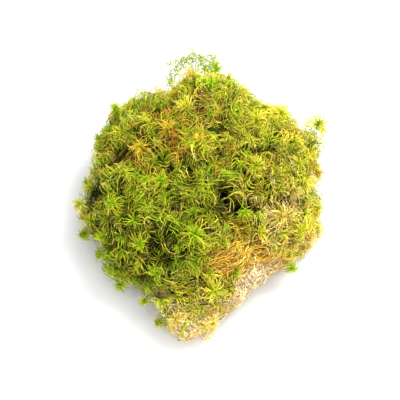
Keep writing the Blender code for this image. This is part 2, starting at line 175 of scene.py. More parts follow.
@dataclass(frozen=True)
class MossFinish:
    """Living peat moss: leaves one cell thick on thin branches, their colours lightened partly by
    painted light for the light that shines right through them.

    The heart of a head is the greenest, the branches ripen outwards, and some tips are
    scorched. Deep down the branches are old and brown, and darkened further by painted shade.
    """

    name: str
    heart: str
    blade: str
    ripe: str
    tip: str
    scorch: str
    # the colour of painted shade deep in the mat, which old branches also take as their own
    shade: str
    patch_size: float = 9.0 * MM  # between ripe and green patches
    cell_size: float = 0.5 * MM  # leaf cells are ten times finer, and drawn as coarse as they show
    roughness: float = 0.72  # damp leaves, nearly matte
    gloss: float = 0.25  # the specular level: a leaf's cells scatter most of the light
    refraction: float = 1.42
    roughness_swing: float = 0.12  # either way, from cell to cell
    hue_shift: float = 0.013  # either way, from patch to patch
    tones: Span = (0.50, 1.50)  # of the darkest and the lightest branches

    def material(self) -> bpy.types.Material:
        """Builds the material from the branch's own attributes and two noise patterns.

        Returns:
            The material.
        """
        material, add = new_material(self.name)
        along, tone, depth, scorched = (
            add("Attribute", {"attribute_name": name}, "Fac") for name in FACTS
        )
        place = add("TexCoord", out="Object")
        patches, cells = (
            add("TexNoise", {"Scale": 1.0 / size, "Detail": detail, "Vector": place})
            for size, detail in ((self.patch_size, 2.0), (self.cell_size, 3.0))
        )
        grown = add("ValToRGB", {
            "stops": {0.0: self.heart, 0.30: self.blade, 0.72: self.ripe, 1.0: self.tip},
            "Fac": along,
        })
        varied = add("MapRange", {
            "From Min": 0.35, "From Max": 0.65, "To Min": 0.5 - self.hue_shift,
            "To Max": 0.5 + self.hue_shift, "Value": patches,
        })
        darkest, lightest = self.tones
        lightness = add("MapRange", {"To Min": darkest, "To Max": lightest, "Value": tone})
        colour = add("HueSaturation", {"Hue": varied, "Value": lightness, "Color": grown})
        # Scorched tips take their real brown; depth mixes in the shade colour, as painted shade and
        # as age
        for factor, other in ((scorched, self.scorch), (depth, self.shade)):
            colour = add("Mix", {
                "data_type": "RGBA", MIX_FACTOR: factor, MIX_A: colour, MIX_B: linear(other),
            }, MIX_RESULT)
        rough = add("MapRange", {
            "To Min": self.roughness - self.roughness_swing,
            "To Max": self.roughness + self.roughness_swing, "Value": cells,
        })
        bump = add("Bump", {"Strength": 0.35, "Distance": 0.1 * MM, "Height": cells})
        add("OutputMaterial", {"Surface": add("BsdfPrincipled", {
            "Base Color": colour, "Roughness": rough, "Normal": bump, "IOR": self.refraction,
            "Specular IOR Level": self.gloss,
        })})
        return material


@dataclass(frozen=True)
class BedFinish:
    """Packed dead moss under the live branches: dark olive and fibrous where plants cover it, its
    darkness there partly painted shade.

    Where it lies bare it is matted straw, bleached cream with brown specks, and in the dead
    patch it is ochre. In the gaps it is painted nearly black, as shadow. All of it is matte.
    """

    name: str = "packed_dead_moss"
    peat: str = "#1A1405"
    olive: str = "#34370A"
    moss: str = "#565C14"
    straw_dark: str = "#A07A40"
    straw: str = "#F0D8A0"
    straw_light: str = "#FFF0CC"
    ochre_dark: str = "#96651E"
    ochre: str = "#E6B450"
    speck: str = "#5A3A18"
    # painted shadow, nearly black, where the bed shows in the gaps
    gap: str = "#140C06"
    fibre_size: float = 0.8 * MM
    lump_size: float = 5.0 * MM
    speck_size: float = 2.2 * MM

    def material(self) -> bpy.types.Material:
        """Builds the material from the bed's attributes and three noise patterns.

        Returns:
            The material.
        """
        material, add = new_material(self.name)
        bare, dead, gap = (
            add("Attribute", {"attribute_name": name}, "Fac") for name in BED_FACTS
        )
        place = add("TexCoord", out="Object")
        fibres = add("TexNoise", {
            "Scale": 1.0 / self.fibre_size, "Detail": 6.0, "Distortion": 1.6, "Vector": place,
        })
        lumps = add("TexNoise", {"Scale": 1.0 / self.lump_size, "Detail": 3.0, "Vector": place})
        grains = add("TexVoronoi", {"Scale": 1.0 / self.speck_size, "Vector": place})
        live, matted, dried = (
            add("ValToRGB", {"stops": stops, "Fac": fibres}) for stops in (
                {0.32: self.peat, 0.48: self.olive, 0.66: self.moss},
                {0.34: self.straw_dark, 0.47: self.straw, 0.64: self.straw_light},
                {0.38: self.ochre_dark, 0.60: self.ochre},
            )
        )
        speckled = add("MapRange", {
            "From Min": 0.13, "From Max": 0.24, "To Min": 0.75, "To Max": 0.0, "Value": grains,
        })
        sparse = add("MapRange", {"From Min": 0.50, "From Max": 0.58, "Value": lumps})
        amount = add("Math", {"operation": "MULTIPLY", 0: speckled, 1: sparse})
        specked = add("Mix", {
            "data_type": "RGBA", MIX_FACTOR: amount, MIX_A: matted, MIX_B: linear(self.speck),
        }, MIX_RESULT)
        colour = live
        for factor, other in ((bare, specked), (dead, dried), (gap, linear(self.gap))):
            colour = add("Mix", {
                "data_type": "RGBA", MIX_FACTOR: factor, MIX_A: colour, MIX_B: other,
            }, MIX_RESULT)
        bump = add("Bump", {"Strength": 0.9, "Distance": 0.5 * MM, "Height": fibres})
        rough = add("MapRange", {"To Min": 0.78, "To Max": 0.98, "Value": fibres})
        add("OutputMaterial", {"Surface": add("BsdfPrincipled", {
            "Base Color": colour, "Roughness": rough, "Normal": bump, "Specular IOR Level": 0.12,
        })})
        return material


@dataclass(frozen=True)
class TwigFinish:
    """Bare dead wood with its bark on: nearly black, dull, with fine long cracks."""

    name: str = "dead_twig_bark"
    dark: str = "#140D08"
    light: str = "#4A3826"
    crack_size: float = 0.35 * MM

    def material(self) -> bpy.types.Material:
        """Builds the material from one noise pattern, drawn out along the twig.

        Returns:
            The material.
        """
        material, add = new_material(self.name)
        drawn_out = add("Mapping", {
            "Scale": (0.3, 1.0, 1.0), "Vector": add("TexCoord", out="Object"),
        })
        cracks = add("TexNoise", {
            "Scale": 1.0 / self.crack_size, "Detail": 4.0, "Vector": drawn_out,
        })
        add("OutputMaterial", {"Surface": add("BsdfPrincipled", {
            "Base Color": add("ValToRGB", {
                "stops": {0.4: self.dark, 0.75: self.light}, "Fac": cracks,
            }),
            "Roughness": add("MapRange", {"To Min": 0.7, "To Max": 0.95, "Value": cracks}),
            "Normal": add("Bump", {"Strength": 0.8, "Distance": 0.1 * MM, "Height": cracks}),
        })})
        return material


@dataclass(frozen=True)
class PaperFinish:
    """Smooth pale grey paper, matte, that the lamps show white but for the clump's soft shadow."""

    name: str = "pale_paper"
    colour: str = "#DADAD8"
    grain: float = 1.5 * MM

    def material(self) -> bpy.types.Material:
        """Builds the material: one pale grey, with the slightest grain.

        Returns:
            The material.
        """
        material, add = new_material(self.name)
        grain = add("TexNoise", {
            "Scale": 1.0 / self.grain, "Detail": 2.0, "Vector": add("TexCoord", out="Object"),
        })
        bump = add("Bump", {"Strength": 0.05, "Distance": 0.05 * MM, "Height": grain})
        add("OutputMaterial", {"Surface": add("BsdfPrincipled", {
            "Base Color": linear(self.colour), "Roughness": 0.9, "Normal": bump,
        })})
        return material


# Each with its colours for the heart, blade, ripe part, tip, scorched tip and shade; the shade
# colour is painted shade deep in the mat, and the own colour of old branches
FINISHES: dict[Tint, MossFinish] = {
    # Young plants in the shade: bright green hearts, their tips only a little yellow
    Tint.GREEN: MossFinish(
        "living_green_moss", "#8AB80A", "#A6B41A", "#C2BA36", "#E0D06A", "#A05A28", "#1E2203",
    ),
    # Plants in the sun: yellow-green hearts and straw-yellow tips
    Tint.YELLOW: MossFinish(
        "living_yellow_moss", "#A6BC18", "#C4C22C", "#DECE50", "#F6E694", "#C86A30", "#2A2603",
    ),
    # Plants that dried out: olive yellow with orange-brown tips
    Tint.AMBER: MossFinish(
        "dried_amber_moss", "#B0AE1A", "#C8B028", "#DCB43C", "#EEBC58", "#B4541F", "#2C2203",
    ),
    # Old plants at the foot, bleached nearly white
    Tint.PALE: MossFinish(
        "bleached_pale_moss", "#BCB83C", "#DAC45A", "#EED68A", "#FAE9C0", "#DC9A64", "#8A7832",
    ),
    # The dead patch: matted ochre branches without any green
    Tint.OCHRE: MossFinish(
        "dead_ochre_moss", "#C89A30", "#E2B640", "#F2CA5A", "#FCE08C", "#8E5418", "#6A4C10",
    ),
    # Dead stems and their leaf remains: straw
    Tint.STRAW: MossFinish(
        "dead_straw_moss", "#EED298", "#F8E2B0", "#FCEDC8", "#FFF6E0", "#9A6A30", "#9C8650",
    ),
    # The thinnest shoots, grown long in the shade and so clear that light goes through them; their
    # pale colours are partly painted light for it
    Tint.WISP: MossFinish(
        "pale_wispy_moss", "#A8B82C", "#B6C044", "#CACE6C", "#E2E0A0", "#C8B060", "#74783A",
    ),
}


def slice_level(bm: bmesh.types.BMesh, height: float, up: float = 1.0,
                clear: bool = False) -> dict:
    """Cuts a shape along a level plane.

    Args:
        bm: The shape.
        height: Where the plane lies.
        up: 1, or -1 for a plane that faces down.
        clear: Whether what lies in front of the plane is removed.

    Returns:
        What the cut made.
    """
    everything = bm.verts[:] + bm.edges[:] + bm.faces[:]
    return bmesh.ops.bisect_plane(
        bm, geom=everything, plane_co=(0.0, 0.0, height), plane_no=(0.0, 0.0, up),
        clear_outer=clear,
    )


@dataclass(frozen=True)
class Prototype:
    """A straight branch's mesh as arrays, ready to be copied and bent."""

    places: Array  # vertices, with z from 0 at the root to 1 at the tip
    corners: Array  # three vertices for each triangle
    chart: Array  # the triangle corners' places in the branch's own flat chart
    smooth: Array


@dataclass(frozen=True)
class BranchShape:
    """A branch one unit long: a thin stalk, with pointed leaves in a spiral round it."""

    leaves: int
    rings: int = 4
    sides: int = 3
    stalk_radius: float = 0.15 * MM
    leaf_length: float = 0.22  # of the branch
    leaf_width: float = 0.40 * MM
    leaf_spread: float = 0.31 * MM  # how far a leaf's tip stands off the branch's middle
    taper: float = 0.35  # how much narrower the branch is at its tip
    first_leaf: float = 0.04
    last_leaf: float = 0.88

    def _stalk(self, bm: bmesh.types.BMesh, chart: bmesh.types.BMLayerItem) -> None:
        """Adds the stalk, a slender cone with a few rings so that it can bend.

        Args:
            bm: The branch's shape so far.
            chart: Its layer of places in the flat chart.
        """
        made = bmesh.ops.create_cone(
            bm, cap_ends=True, segments=self.sides, radius1=self.stalk_radius, radius2=0.0,
            depth=1.0, matrix=Matrix.Translation((0.0, 0.0, 0.5)),
        )
        bmesh.ops.remove_doubles(bm, verts=made["verts"], dist=1e-7)
        for ring in range(1, self.rings):
            slice_level(bm, ring / self.rings)
        for vert in bm.verts:
            if 0.0 < vert.co.z < 1.0:
                thickness = (1.0 - self.taper * vert.co.z) / (1.0 - vert.co.z)
                vert.co.x *= thickness
                vert.co.y *= thickness
        for face in bm.faces:
            face.smooth = True
            middle = face.calc_center_median()
            facing = math.atan2(middle.y, middle.x)
            for loop in face.loops:
                turn = math.atan2(loop.vert.co.y, loop.vert.co.x) - facing
                turn = (turn + math.pi) % (2.0 * math.pi) - math.pi
                spin = 0.0 if loop.vert.co.z > 0.999 else turn
                across = ((facing + spin) / (2.0 * math.pi)) % 1.0 if abs(spin) < 2.0 else 0.0
                loop[chart].uv = (loop.vert.co.z, 0.04 + 0.40 * across)

    def _leaf(self, bm: bmesh.types.BMesh, chart: bmesh.types.BMLayerItem, number: int) -> None:
        """Adds one pointed leaf, folded along its middle.

        Args:
            bm: The branch's shape so far.
            chart: Its layer of places in the flat chart.
            number: The leaf's number, counted from the root.
        """
        share = number / max(self.leaves - 1, 1)
        start = self.first_leaf + (self.last_leaf - self.first_leaf) * share
        size = 1.0 - self.taper * start
        turn = number * math.radians(144.0)
        out = Vector((math.cos(turn), math.sin(turn), 0.0))
        side = Vector((-math.sin(turn), math.cos(turn), 0.0))
        made = bmesh.ops.create_grid(bm, x_segments=1, y_segments=1, size=1.0)
        places = {
            (-1, -1): (0.6 * self.stalk_radius * size, 0.0, 0.0, (0.5, 0.0)),
            (1, -1): (0.55 * self.leaf_spread * size, 0.5, 0.42, (1.0, 0.42)),
            (-1, 1): (0.55 * self.leaf_spread * size, -0.5, 0.42, (0.0, 0.42)),
            (1, 1): (self.leaf_spread * size, 0.0, 1.0, (0.5, 1.0)),
        }
        column, row = number % 5, number // 5
        ends = []
        face = made["verts"][0].link_faces[0]
        for loop in face.loops:
            vert = loop.vert
            reach, swing, up, spot = places[(round(vert.co.x), round(vert.co.y))]
            if swing == 0.0:
                ends.append(vert)
            vert.co = out * reach + side * swing * self.leaf_width * size
            vert.co.z = start + up * self.leaf_length * (1.15 - 0.3 * share)
            loop[chart].uv = (
                (column + 0.1 + 0.8 * spot[0]) / 5.0,
                0.5 + (row + 0.1 + 0.8 * spot[1]) / 6.0,
            )
        bmesh.ops.connect_vert_pair(bm, verts=ends)

    def prototype(self) -> Prototype:
        """Builds the branch.

        Returns:
            Its mesh as arrays of triangles.
        """
        bm = bmesh.new()
        chart = bm.loops.layers.uv.new("chart")
        self._stalk(bm, chart)
        for number in range(self.leaves):
            self._leaf(bm, chart, number)
        bmesh.ops.triangulate(bm, faces=bm.faces)
        bm.verts.index_update()
        made = Prototype(
            places=vertex_places(bm.verts),
            corners=np.array([[loop.vert.index for loop in face.loops] for face in bm.faces]),
            chart=np.array([[loop[chart].uv[:] for loop in face.loops] for face in bm.faces]),
            smooth=np.array([face.smooth for face in bm.faces]),
        )
        bm.free()
        return made


@dataclass
class Thatch:
    """Branches of one shape, gathered as curves before they become part of a mesh."""

    shape: BranchShape
    curves: list[Array] = field(default_factory=list)  # each of n branches by 4 points
    facts: list[Array] = field(default_factory=list)  # each of n by the five values of add

    def add(self, curves: Array, width: Array | float, tone: Array | float,
            scorch: Array | float = 0.0, age: Array | float = 0.0,
            ripeness: Array | float = 1.0) -> None:
        """Adds branches.

        Args:
            curves: The four points of each branch's Bezier curve.
            width: How wide each is, as a share of the shape's own width.
            tone: How light each is, cut to the range from 0 to 1.
            scorch: How brown its tip has turned, from 0 to 1.
            age: How much of the shade's colour each has wherever it lies, from 0 to 1.
            ripeness: How far each has gone from the heart's colour to the tip's.
        """
        count = len(curves)
        values = (width, np.clip(tone, 0.0, 1.0), scorch, age, ripeness)
        self.curves.append(curves)
        self.facts.append(np.stack([np.broadcast_to(value, count) for value in values], 1))

    def count(self) -> int:
        """Returns how many branches there are."""
        return sum(len(part) for part in self.curves)

    def bent(self, prototype: Prototype, rng: Rng) -> Array:
        """Bends a copy of the branch along each curve.

        Args:
            prototype: The straight branch.
            rng: The source of each branch's turn about its own length.

        Returns:
            The vertices, branch by branch.
        """
        curves = np.concatenate(self.curves)
        widths = np.concatenate(self.facts)[:, 0]
        t = prototype.places[:, 2]
        rest = 1.0 - t
        line_basis = np.stack([rest**3, 3 * rest**2 * t, 3 * rest * t**2, t**3])
        slope_basis = np.stack([rest**2, 2 * rest * t, t**2])
        steps = np.diff(curves, axis=1)
        line = np.einsum("km,nkd->nmd", line_basis, curves)
        slope = unit(np.einsum("km,nkd->nmd", slope_basis, steps))
        hinge = np.cross(steps[:, 0], steps[:, 2])
        spare = np.cross(curves[:, 3] - curves[:, 0], rng.normal(size=(len(curves), 3)))
        flat = np.linalg.norm(hinge, axis=1) < 0.05 * np.linalg.norm(steps[:, 0], axis=1) ** 2
        hinge = unit(np.where(flat[:, None], spare, hinge))[:, None, :]
        normal = unit(np.cross(hinge, slope))
        binormal = np.cross(slope, normal)
        roll = rng.uniform(0.0, 2.0 * math.pi, len(curves))[:, None]
        x, y = prototype.places[:, 0][None], prototype.places[:, 1][None]
        across = widths[:, None] * (x * np.cos(roll) - y * np.sin(roll))
        aside = widths[:, None] * (x * np.sin(roll) + y * np.cos(roll))
        return line + normal * across[..., None] + binormal * aside[..., None]


def add_object(name: str, data: bpy.types.ID) -> Piece:
    """Adds an object to the scene.

    Args:
        name: The object's name.
        data: Its mesh, lamp or camera.

    Returns:
        The object.
    """
    thing = bpy.data.objects.new(name, data)
    bpy.context.scene.collection.objects.link(thing)
    return thing


def make_object(name: str, bm: bmesh.types.BMesh, material: bpy.types.Material,
                smooth: bool = True) -> Piece:
    """Makes an object of a finished shape.

    Args:
        name: The object's name.
        bm: The shape, which is freed.
        material: Its finish.
        smooth: Whether its faces are shaded smooth.

    Returns:
        The object.
    """
    mesh = bpy.data.meshes.new(name)
    bm.to_mesh(mesh)
    bm.free()
    if smooth:
        mesh.shade_smooth()
    mesh.materials.append(material)
    return add_object(name, mesh)


def vertex_places(verts: Iterable) -> Array:
    """Returns the places of vertices."""
    return np.array([vert.co[:] for vert in verts])


def welded(node: str) -> bmesh.types.BMesh:
    """Returns a CAD node's shape, with its loose triangles merged.

    Args:
        node: The node's name.

    Returns:
        The shape, which the caller frees.
    """
    bm = bmesh.new()
    bm.from_mesh(frame["nodes"][node].data)
    bmesh.ops.remove_doubles(bm, verts=bm.verts, dist=1e-6)
    return bm


def unit(vectors: Array) -> Array:
    """Returns vectors of length 1."""
    return vectors / np.maximum(np.linalg.norm(vectors, axis=-1, keepdims=True), 1e-12)


def perpendicular(axis: Array) -> tuple[Array, Array]:
    """Returns two directions square to an axis and to each other.

    Args:
        axis: The axis, of length 1.

    Returns:
        The two directions, of length 1.
    """
    helper = np.array((1.0, 0.0, 0.0)) if abs(axis[0]) < 0.8 else np.array((0.0, 1.0, 0.0))
    first = unit(np.cross(axis, helper))
    return first, np.cross(axis, first)


@dataclass(frozen=True)
class Spot:
    """An oval stretch of the mat, as seen from above, in millimetres and degrees."""

    x: float
    y: float
    half_length: float
    half_width: float
    turn: float = 0.0  # from +X to its length
    drop: float = 0.0  # how much deeper the mound lies there
    strength: float = 1.0  # of what it does in its middle

    def nearness(self, places: Array) -> Array:
        """Returns 1 in the middle of the stretch, falling to 0 outside it.

        Args:
            places: The places.

        Returns:
            How near each is, times the strength.
        """
        turn = math.radians(self.turn)
        x, y = places[..., 0] - self.x * MM, places[..., 1] - self.y * MM
        along = (x * math.cos(turn) + y * math.sin(turn)) / (self.half_length * MM)
        across = (y * math.cos(turn) - x * math.sin(turn)) / (self.half_width * MM)
        return self.strength * np.exp(-along**2 - across**2)


# Gaps where the plants part and one looks deep into the mat, where the bed is painted nearly black
# as shadow
GAPS = (
    Spot(8.8, -18.4, 3.4, 4.6, drop=9.0), Spot(16.8, -23.4, 8.0, 4.2, turn=8.0, drop=9.0),
    Spot(-38.4, 1.6, 6.8, 3.2, turn=32.0, drop=5.5),
    Spot(-48.2, -9.0, 6.2, 2.8, turn=66.0, drop=4.5), Spot(-19.0, -56.0, 3.2, 2.2, drop=3.0),
)
# Hollows that the plants cover, where the mat lies deeper and its branches take more painted shade
HOLLOWS = (
    Spot(-22.5, -40.5, 10.0, 6.0, turn=-42.0, drop=3.6),
    Spot(-15.0, -56.0, 6.0, 4.0, turn=-20.0, drop=2.0),
)
# Painted light: where the plants stand loose, their branches are painted lighter and given less
# painted shade, as if light came through them
PAINTED_LIGHT = (
    Spot(4.0, 50.0, 26.0, 12.0, turn=-8.0), Spot(38.0, 34.0, 18.0, 15.0, strength=1.35),
    Spot(44.0, 14.0, 14.0, 12.0, strength=0.5), Spot(2.0, -6.0, 20.0, 15.0, strength=0.22),
    Spot(-30.0, 24.0, 14.0, 10.0, strength=0.3), Spot(-2.0, -67.0, 16.0, 9.0, strength=0.8),
    Spot(47.0, -27.0, 14.0, 12.0, strength=0.8), Spot(-34.0, 38.0, 12.0, 10.0),
)
# Where most branches have rusted
RUST = (
    Spot(-11.5, 1.0, 6.5, 3.0, turn=-15.0, strength=0.8), Spot(-3.5, 5.0, 5.0, 2.6, turn=-25.0),
    Spot(-22.0, 6.0, 3.4, 2.4), Spot(0.0, 26.0, 2.6, 2.2), Spot(-26.3, -26.0, 2.6, 2.0),
    Spot(-12.0, -31.5, 2.2, 1.6), Spot(13.0, 8.0, 5.0, 2.6, turn=-50.0),
    Spot(15.5, -11.5, 3.6, 2.2), Spot(33.0, -30.0, 4.5, 2.6, turn=-30.0),
)
DEAD_PATCH = Spot(17.5, -43.5, 18.0, 6.5, turn=14.0)


def nearest(spots: Sequence[Spot], places: Array) -> Array:
    """Returns how near the middle of one of some stretches places lie, from 0 to 1."""
    return np.max([spot.nearness(places) for spot in spots], axis=0)


def clear_of_gaps(curves: Array, most: float = 0.50) -> Array:
    """Tells which branches leave the gaps open.

    Args:
        curves: The four points of each branch.
        most: How near a gap's middle a branch may come, from 0 to 1.

    Returns:
        Whether each branch stays out of every gap.
    """
    t = np.array((0.2, 0.4, 0.6, 0.8, 1.0))
    basis = np.stack([(1 - t)**3, 3 * (1 - t)**2 * t, 3 * (1 - t) * t**2, t**3])
    return nearest(GAPS, np.einsum("km,nkd->nmd", basis, curves)).max(axis=1) < most


def arcs(middle: Array, way: Array, normal: Array, length: Array,
         bow: Array, lift: Array, twist: Array) -> Array:
    """Bends branches that lie along the mat.

    Args:
        middle: Where the middle of each would be, if it were straight.
        way: Which way each lies.
        normal: The direction square to the mat there.
        length: How long each is.
        bow: How far each bends aside, as a share of its length, as the next two.
        lift: How far its middle stands off the mat.
        twist: How far its ends turn opposite ways.

    Returns:
        Four points for each branch.
    """
    side, length = np.cross(normal, way), length[:, None]
    bend = bow[:, None] * side + lift[:, None] * normal
    turn = twist[:, None] * side
    start, end = middle - way * 0.45 * length, middle + way * 0.45 * length
    return np.stack([
        start, start + (0.30 * way + bend + turn) * length,
        end - (0.30 * way - bend + turn) * length, end,
    ], 1)


def for_some(chance: float, span: Span, count: int, rng: Rng) -> Array:
    """Returns a random value from a span for some of the branches, and 0 for the others."""
    return np.where(rng.uniform(size=count) < chance, rng.uniform(*span, count), 0.0)


@dataclass(frozen=True)
class Lay:
    """How loose branches lie on the mound."""

    length: Span
    depth: Span  # the least and the greatest, under the mound
    bends: tuple[Span, ...]  # mean and spread of the bow, lift and twist of arcs
    rise: Span | None = None  # mean and spread of how they leave the mound

    def curves(self, points: Array, normals: Array, way: Array, rng: Rng) -> Array:
        """Lays branches.

        Args:
            points: Places on the mound.
            normals: The directions square to it there.
            way: Roughly which way each branch lies.
            rng: The source of their differences.

        Returns:
            Four points for each branch.
        """
        count = len(points)
        way = unit(way - normals * (way * normals).sum(1, keepdims=True))
        if self.rise:
            way = unit(way + normals * rng.normal(*self.rise, (count, 1)))
        middle = points - normals * rng.uniform(*self.depth, count)[:, None]
        return arcs(
            middle, way, normals, rng.uniform(*self.length, count),
            *(rng.normal(*bend, count) for bend in self.bends),
        )


# Where the living moss stands thicker on the mat, or thinner: azimuth, climb and half width in
# degrees, and how much in millimetres
SWELLINGS = (
    (261.5, -6.0, 12.0, 9.2), (74.0, 26.0, 16.0, 7.8), (46.0, 22.0, 12.0, 4.0),
    (122.0, 28.0, 13.0, 4.0), (96.0, 30.0, 10.0, 4.0), (24.5, 9.5, 7.0, 6.5),
    (332.0, 0.0, 11.0, 4.2), (249.0, -6.0, 6.0, -2.4), (172.0, 6.0, 8.0, -4.0),
    (184.0, 16.0, 8.0, 1.0), (149.0, 15.0, 9.0, 4.5), (212.0, 0.0, 9.0, -4.6),
    (193.0, -2.0, 6.0, 1.8), (237.0, -4.0, 7.0, -3.6), (292.0, 0.0, 16.0, 1.8),
    (316.0, 0.0, 8.0, 1.0), (346.0, 2.0, 8.0, 2.0),
)


def swelling(azimuth: Array, climb: Array) -> Array:
    """Returns how much thicker the living moss stands at directions in radians.

    Args:
        azimuth: Directions round the middle, in radians.
        climb: Directions above the level, in radians.

    Returns:
        How much further out the mound lies in each.
    """
    around, up = np.degrees(azimuth), np.degrees(climb)
    return sum(
        rise * MM * np.exp(
            -(((around - middle + 180.0) % 360.0 - 180.0)**2 + (up - height)**2) / width**2)
        for middle, height, width, rise in SWELLINGS
    )


def flow(places: Array, normals: Array, size: float = 16.0 * MM, fall: float = 0.35) -> Array:
    """Finds which way the branches lie, which changes slowly over the mat and tends downhill.

    Args:
        places: Places on the mat.
        normals: The directions square to the mat there.
        size: How far apart the ways are unlike each other.
        fall: How much the branches hang.

    Returns:
        Directions along the mat's surface.
    """
    ways = np.array([noise.noise_vector(Vector(place) / size) for place in places])
    ways = ways - fall * UP
    return unit(ways - normals * (ways * normals).sum(-1, keepdims=True))


@dataclass
class Mound:
    """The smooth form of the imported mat, measured from its solid by rays from inside."""

    shoots: Sequence["Plant"]
    centre: Array = field(default_factory=lambda: np.array((0.0, -0.004, 0.010)))
    azimuths: int = 180
    climbs: int = 60
    lowest_climb: float = math.radians(-10.0)
    highest_climb: float = math.radians(89.0)
    pit_radius: float = 8.5 * MM  # around a shoot the mat's solid has a pit, which is bridged
    hummock_size: float = 11.0 * MM
    hummock_height: float = 2.0 * MM
    bridging: int = 400  # rounds in which the pits fill from their rims
    smoothing: int = 5  # rounds that even out the fused heads
    level: Array = field(init=False)
    reach: Array = field(init=False)
    points: Array = field(init=False)
    normals: Array = field(init=False)

    def __post_init__(self) -> None:
        """Measures the mound."""
        azimuth = np.arange(self.azimuths) * 2.0 * math.pi / self.azimuths
        climb = np.linspace(self.lowest_climb, self.highest_climb, self.climbs)
        azimuth, climb = np.meshgrid(azimuth, climb, indexing="ij")
        ways = np.stack(
            [np.cos(climb) * np.cos(azimuth), np.cos(climb) * np.sin(azimuth), np.sin(climb)], -1
        )
        bm = welded("moss_mat")
        tree = BVHTree.FromBMesh(bm)
        bm.free()
        hits = [tree.ray_cast(Vector(self.centre), Vector(way))[3] for way in ways.reshape(-1, 3)]
        reach = np.array([hit or 0.0 for hit in hits]).reshape(azimuth.shape)
        level = self._smooth(self._bridge(reach, ways))
        level = level + swelling(azimuth, climb)
        self.level = level + self._hummocks(ways * level[..., None])
        places = self.centre + ways * self.level[..., None]
        drops = [spot.drop * MM * spot.nearness(places) for spot in GAPS + HOLLOWS]
        self.reach = self.level - np.max(drops, axis=0)
        self.points = self.centre + ways * self.reach[..., None]
        around = np.roll(self.points, -1, 0) - np.roll(self.points, 1, 0)
        upward = np.gradient(self.points, axis=1)
        self.normals = unit(np.cross(around, upward))

    def _hummocks(self, offsets: Array) -> Array:
        """Returns the uneven heights to which the plants have grown."""
        heights = [noise.noise(Vector(o) / self.hummock_size) for o in offsets.reshape(-1, 3)]
        return self.hummock_height * np.array(heights).reshape(offsets.shape[:-1])

    def _bridge(self, reach: Array, ways: Array) -> Array:
        """Fills the pits around the shoots, and missed rays, from what is round them.

        Args:
            reach: The measured distances, 0 where a ray missed.
            ways: The rays' directions.

        Returns:
            The distances without pits.
        """
        unknown = reach <= 0.0
        for shoot in self.shoots:
            towards = unit(shoot.place - self.centre)
            turned = np.clip(ways @ towards, -1.0, 1.0)
            aside = reach * np.sqrt(1.0 - turned**2)
            unknown |= (aside < self.pit_radius) & (turned > 0.0)
        filled = np.where(unknown, reach[~unknown].mean(), reach)
        for _ in range(self.bridging):
            padded = np.pad(filled, ((0, 0), (1, 1)), mode="edge")
            around = np.roll(filled, 1, 0) + np.roll(filled, -1, 0)
            filled = np.where(unknown, (around + padded[:, 2:] + padded[:, :-2]) / 4.0, filled)
        return filled

    def _smooth(self, reach: Array) -> Array:
        """Evens out the small star heads that are fused to the solid.

        Args:
            reach: The distances.

        Returns:
            The evened distances.
        """
        for _ in range(self.smoothing):
            padded = np.pad(reach, ((0, 0), (1, 1)), mode="edge")
            around = np.roll(reach, 1, 0) + np.roll(reach, -1, 0)
            reach = (2.0 * reach + around + padded[:, 2:] + padded[:, :-2]) / 6.0
        return reach

    def read(self, grid: Array, azimuth: Array, climb: Array) -> Array:
        """Reads one of the mound's grids between its points.

        Args:
            grid: The grid, by azimuth and climb.
            azimuth: Directions round the middle, in radians.
            climb: Directions above the level, in radians.

        Returns:
            The grid's values in those directions.
        """
        column = np.mod(azimuth / (2.0 * math.pi), 1.0) * self.azimuths
        row = (climb - self.lowest_climb) / (self.highest_climb - self.lowest_climb)
        row = np.clip(row, 0.0, 1.0) * (self.climbs - 1.001)
        i, j = column.astype(int) % self.azimuths, row.astype(int)
        a, b = column - np.floor(column), row - j
        if grid.ndim == 3:
            a, b = a[..., None], b[..., None]
        k = (i + 1) % self.azimuths
        low = grid[i, j] * (1 - a) + grid[k, j] * a
        high = grid[i, j + 1] * (1 - a) + grid[k, j + 1] * a
        return low * (1 - b) + high * b

    def surface(self, azimuth: Array, climb: Array) -> tuple[Array, Array]:
        """Finds the mound's surface.

        Args:
            azimuth: Directions round the middle, in radians.
            climb: Directions above the level, in radians.

        Returns:
            The points, and the directions square to the surface there.
        """
        normals = unit(self.read(self.normals, azimuth, climb))
        return self.read(self.points, azimuth, climb), normals

    def within(self, azimuth: Span, climb: Span, count: int, rng: Rng) -> tuple[Array, Array]:
        """Picks places between azimuths and climbs in degrees, with the directions square there."""
        return self.surface(*(np.radians(rng.uniform(*span, count)) for span in (azimuth, climb)))

    def height_over(self, places: Array) -> Array:
        """Returns how far places stand outside the mound as it is without its gaps.

        Args:
            places: The places.

        Returns:
            Their heights, less than 0 inside.
        """
        offset = places - self.centre
        far = np.linalg.norm(offset, axis=-1)
        azimuth = np.arctan2(offset[..., 1], offset[..., 0])
        climb = np.arcsin(np.clip(offset[..., 2] / np.maximum(far, 1e-9), -1.0, 1.0))
        return far - self.read(self.level, azimuth, climb)

    def scatter(self, count: int, rng: Rng) -> tuple[Array, ...]:
        """Picks places that are spread evenly over the mound.

        Args:
            count: How many.
            rng: The source of the picks.

        Returns:
            Their azimuths, their climbs, the places, and the directions square to the mound there.
        """
        around = np.roll(self.points, -1, 0)[:, :-1] - self.points[:, :-1]
        upward = self.points[:, 1:] - self.points[:, :-1]
        area = np.linalg.norm(np.cross(around, upward), axis=-1)
        pick = rng.choice(area.size, count, p=(area / area.sum()).ravel())
        i, j = np.unravel_index(pick, area.shape)
        azimuth = (i + rng.uniform(size=count)) * 2.0 * math.pi / self.azimuths
        step = (self.highest_climb - self.lowest_climb) / (self.climbs - 1)
        climb = self.lowest_climb + (j + rng.uniform(size=count)) * step
        return azimuth, climb, *self.surface(azimuth, climb)


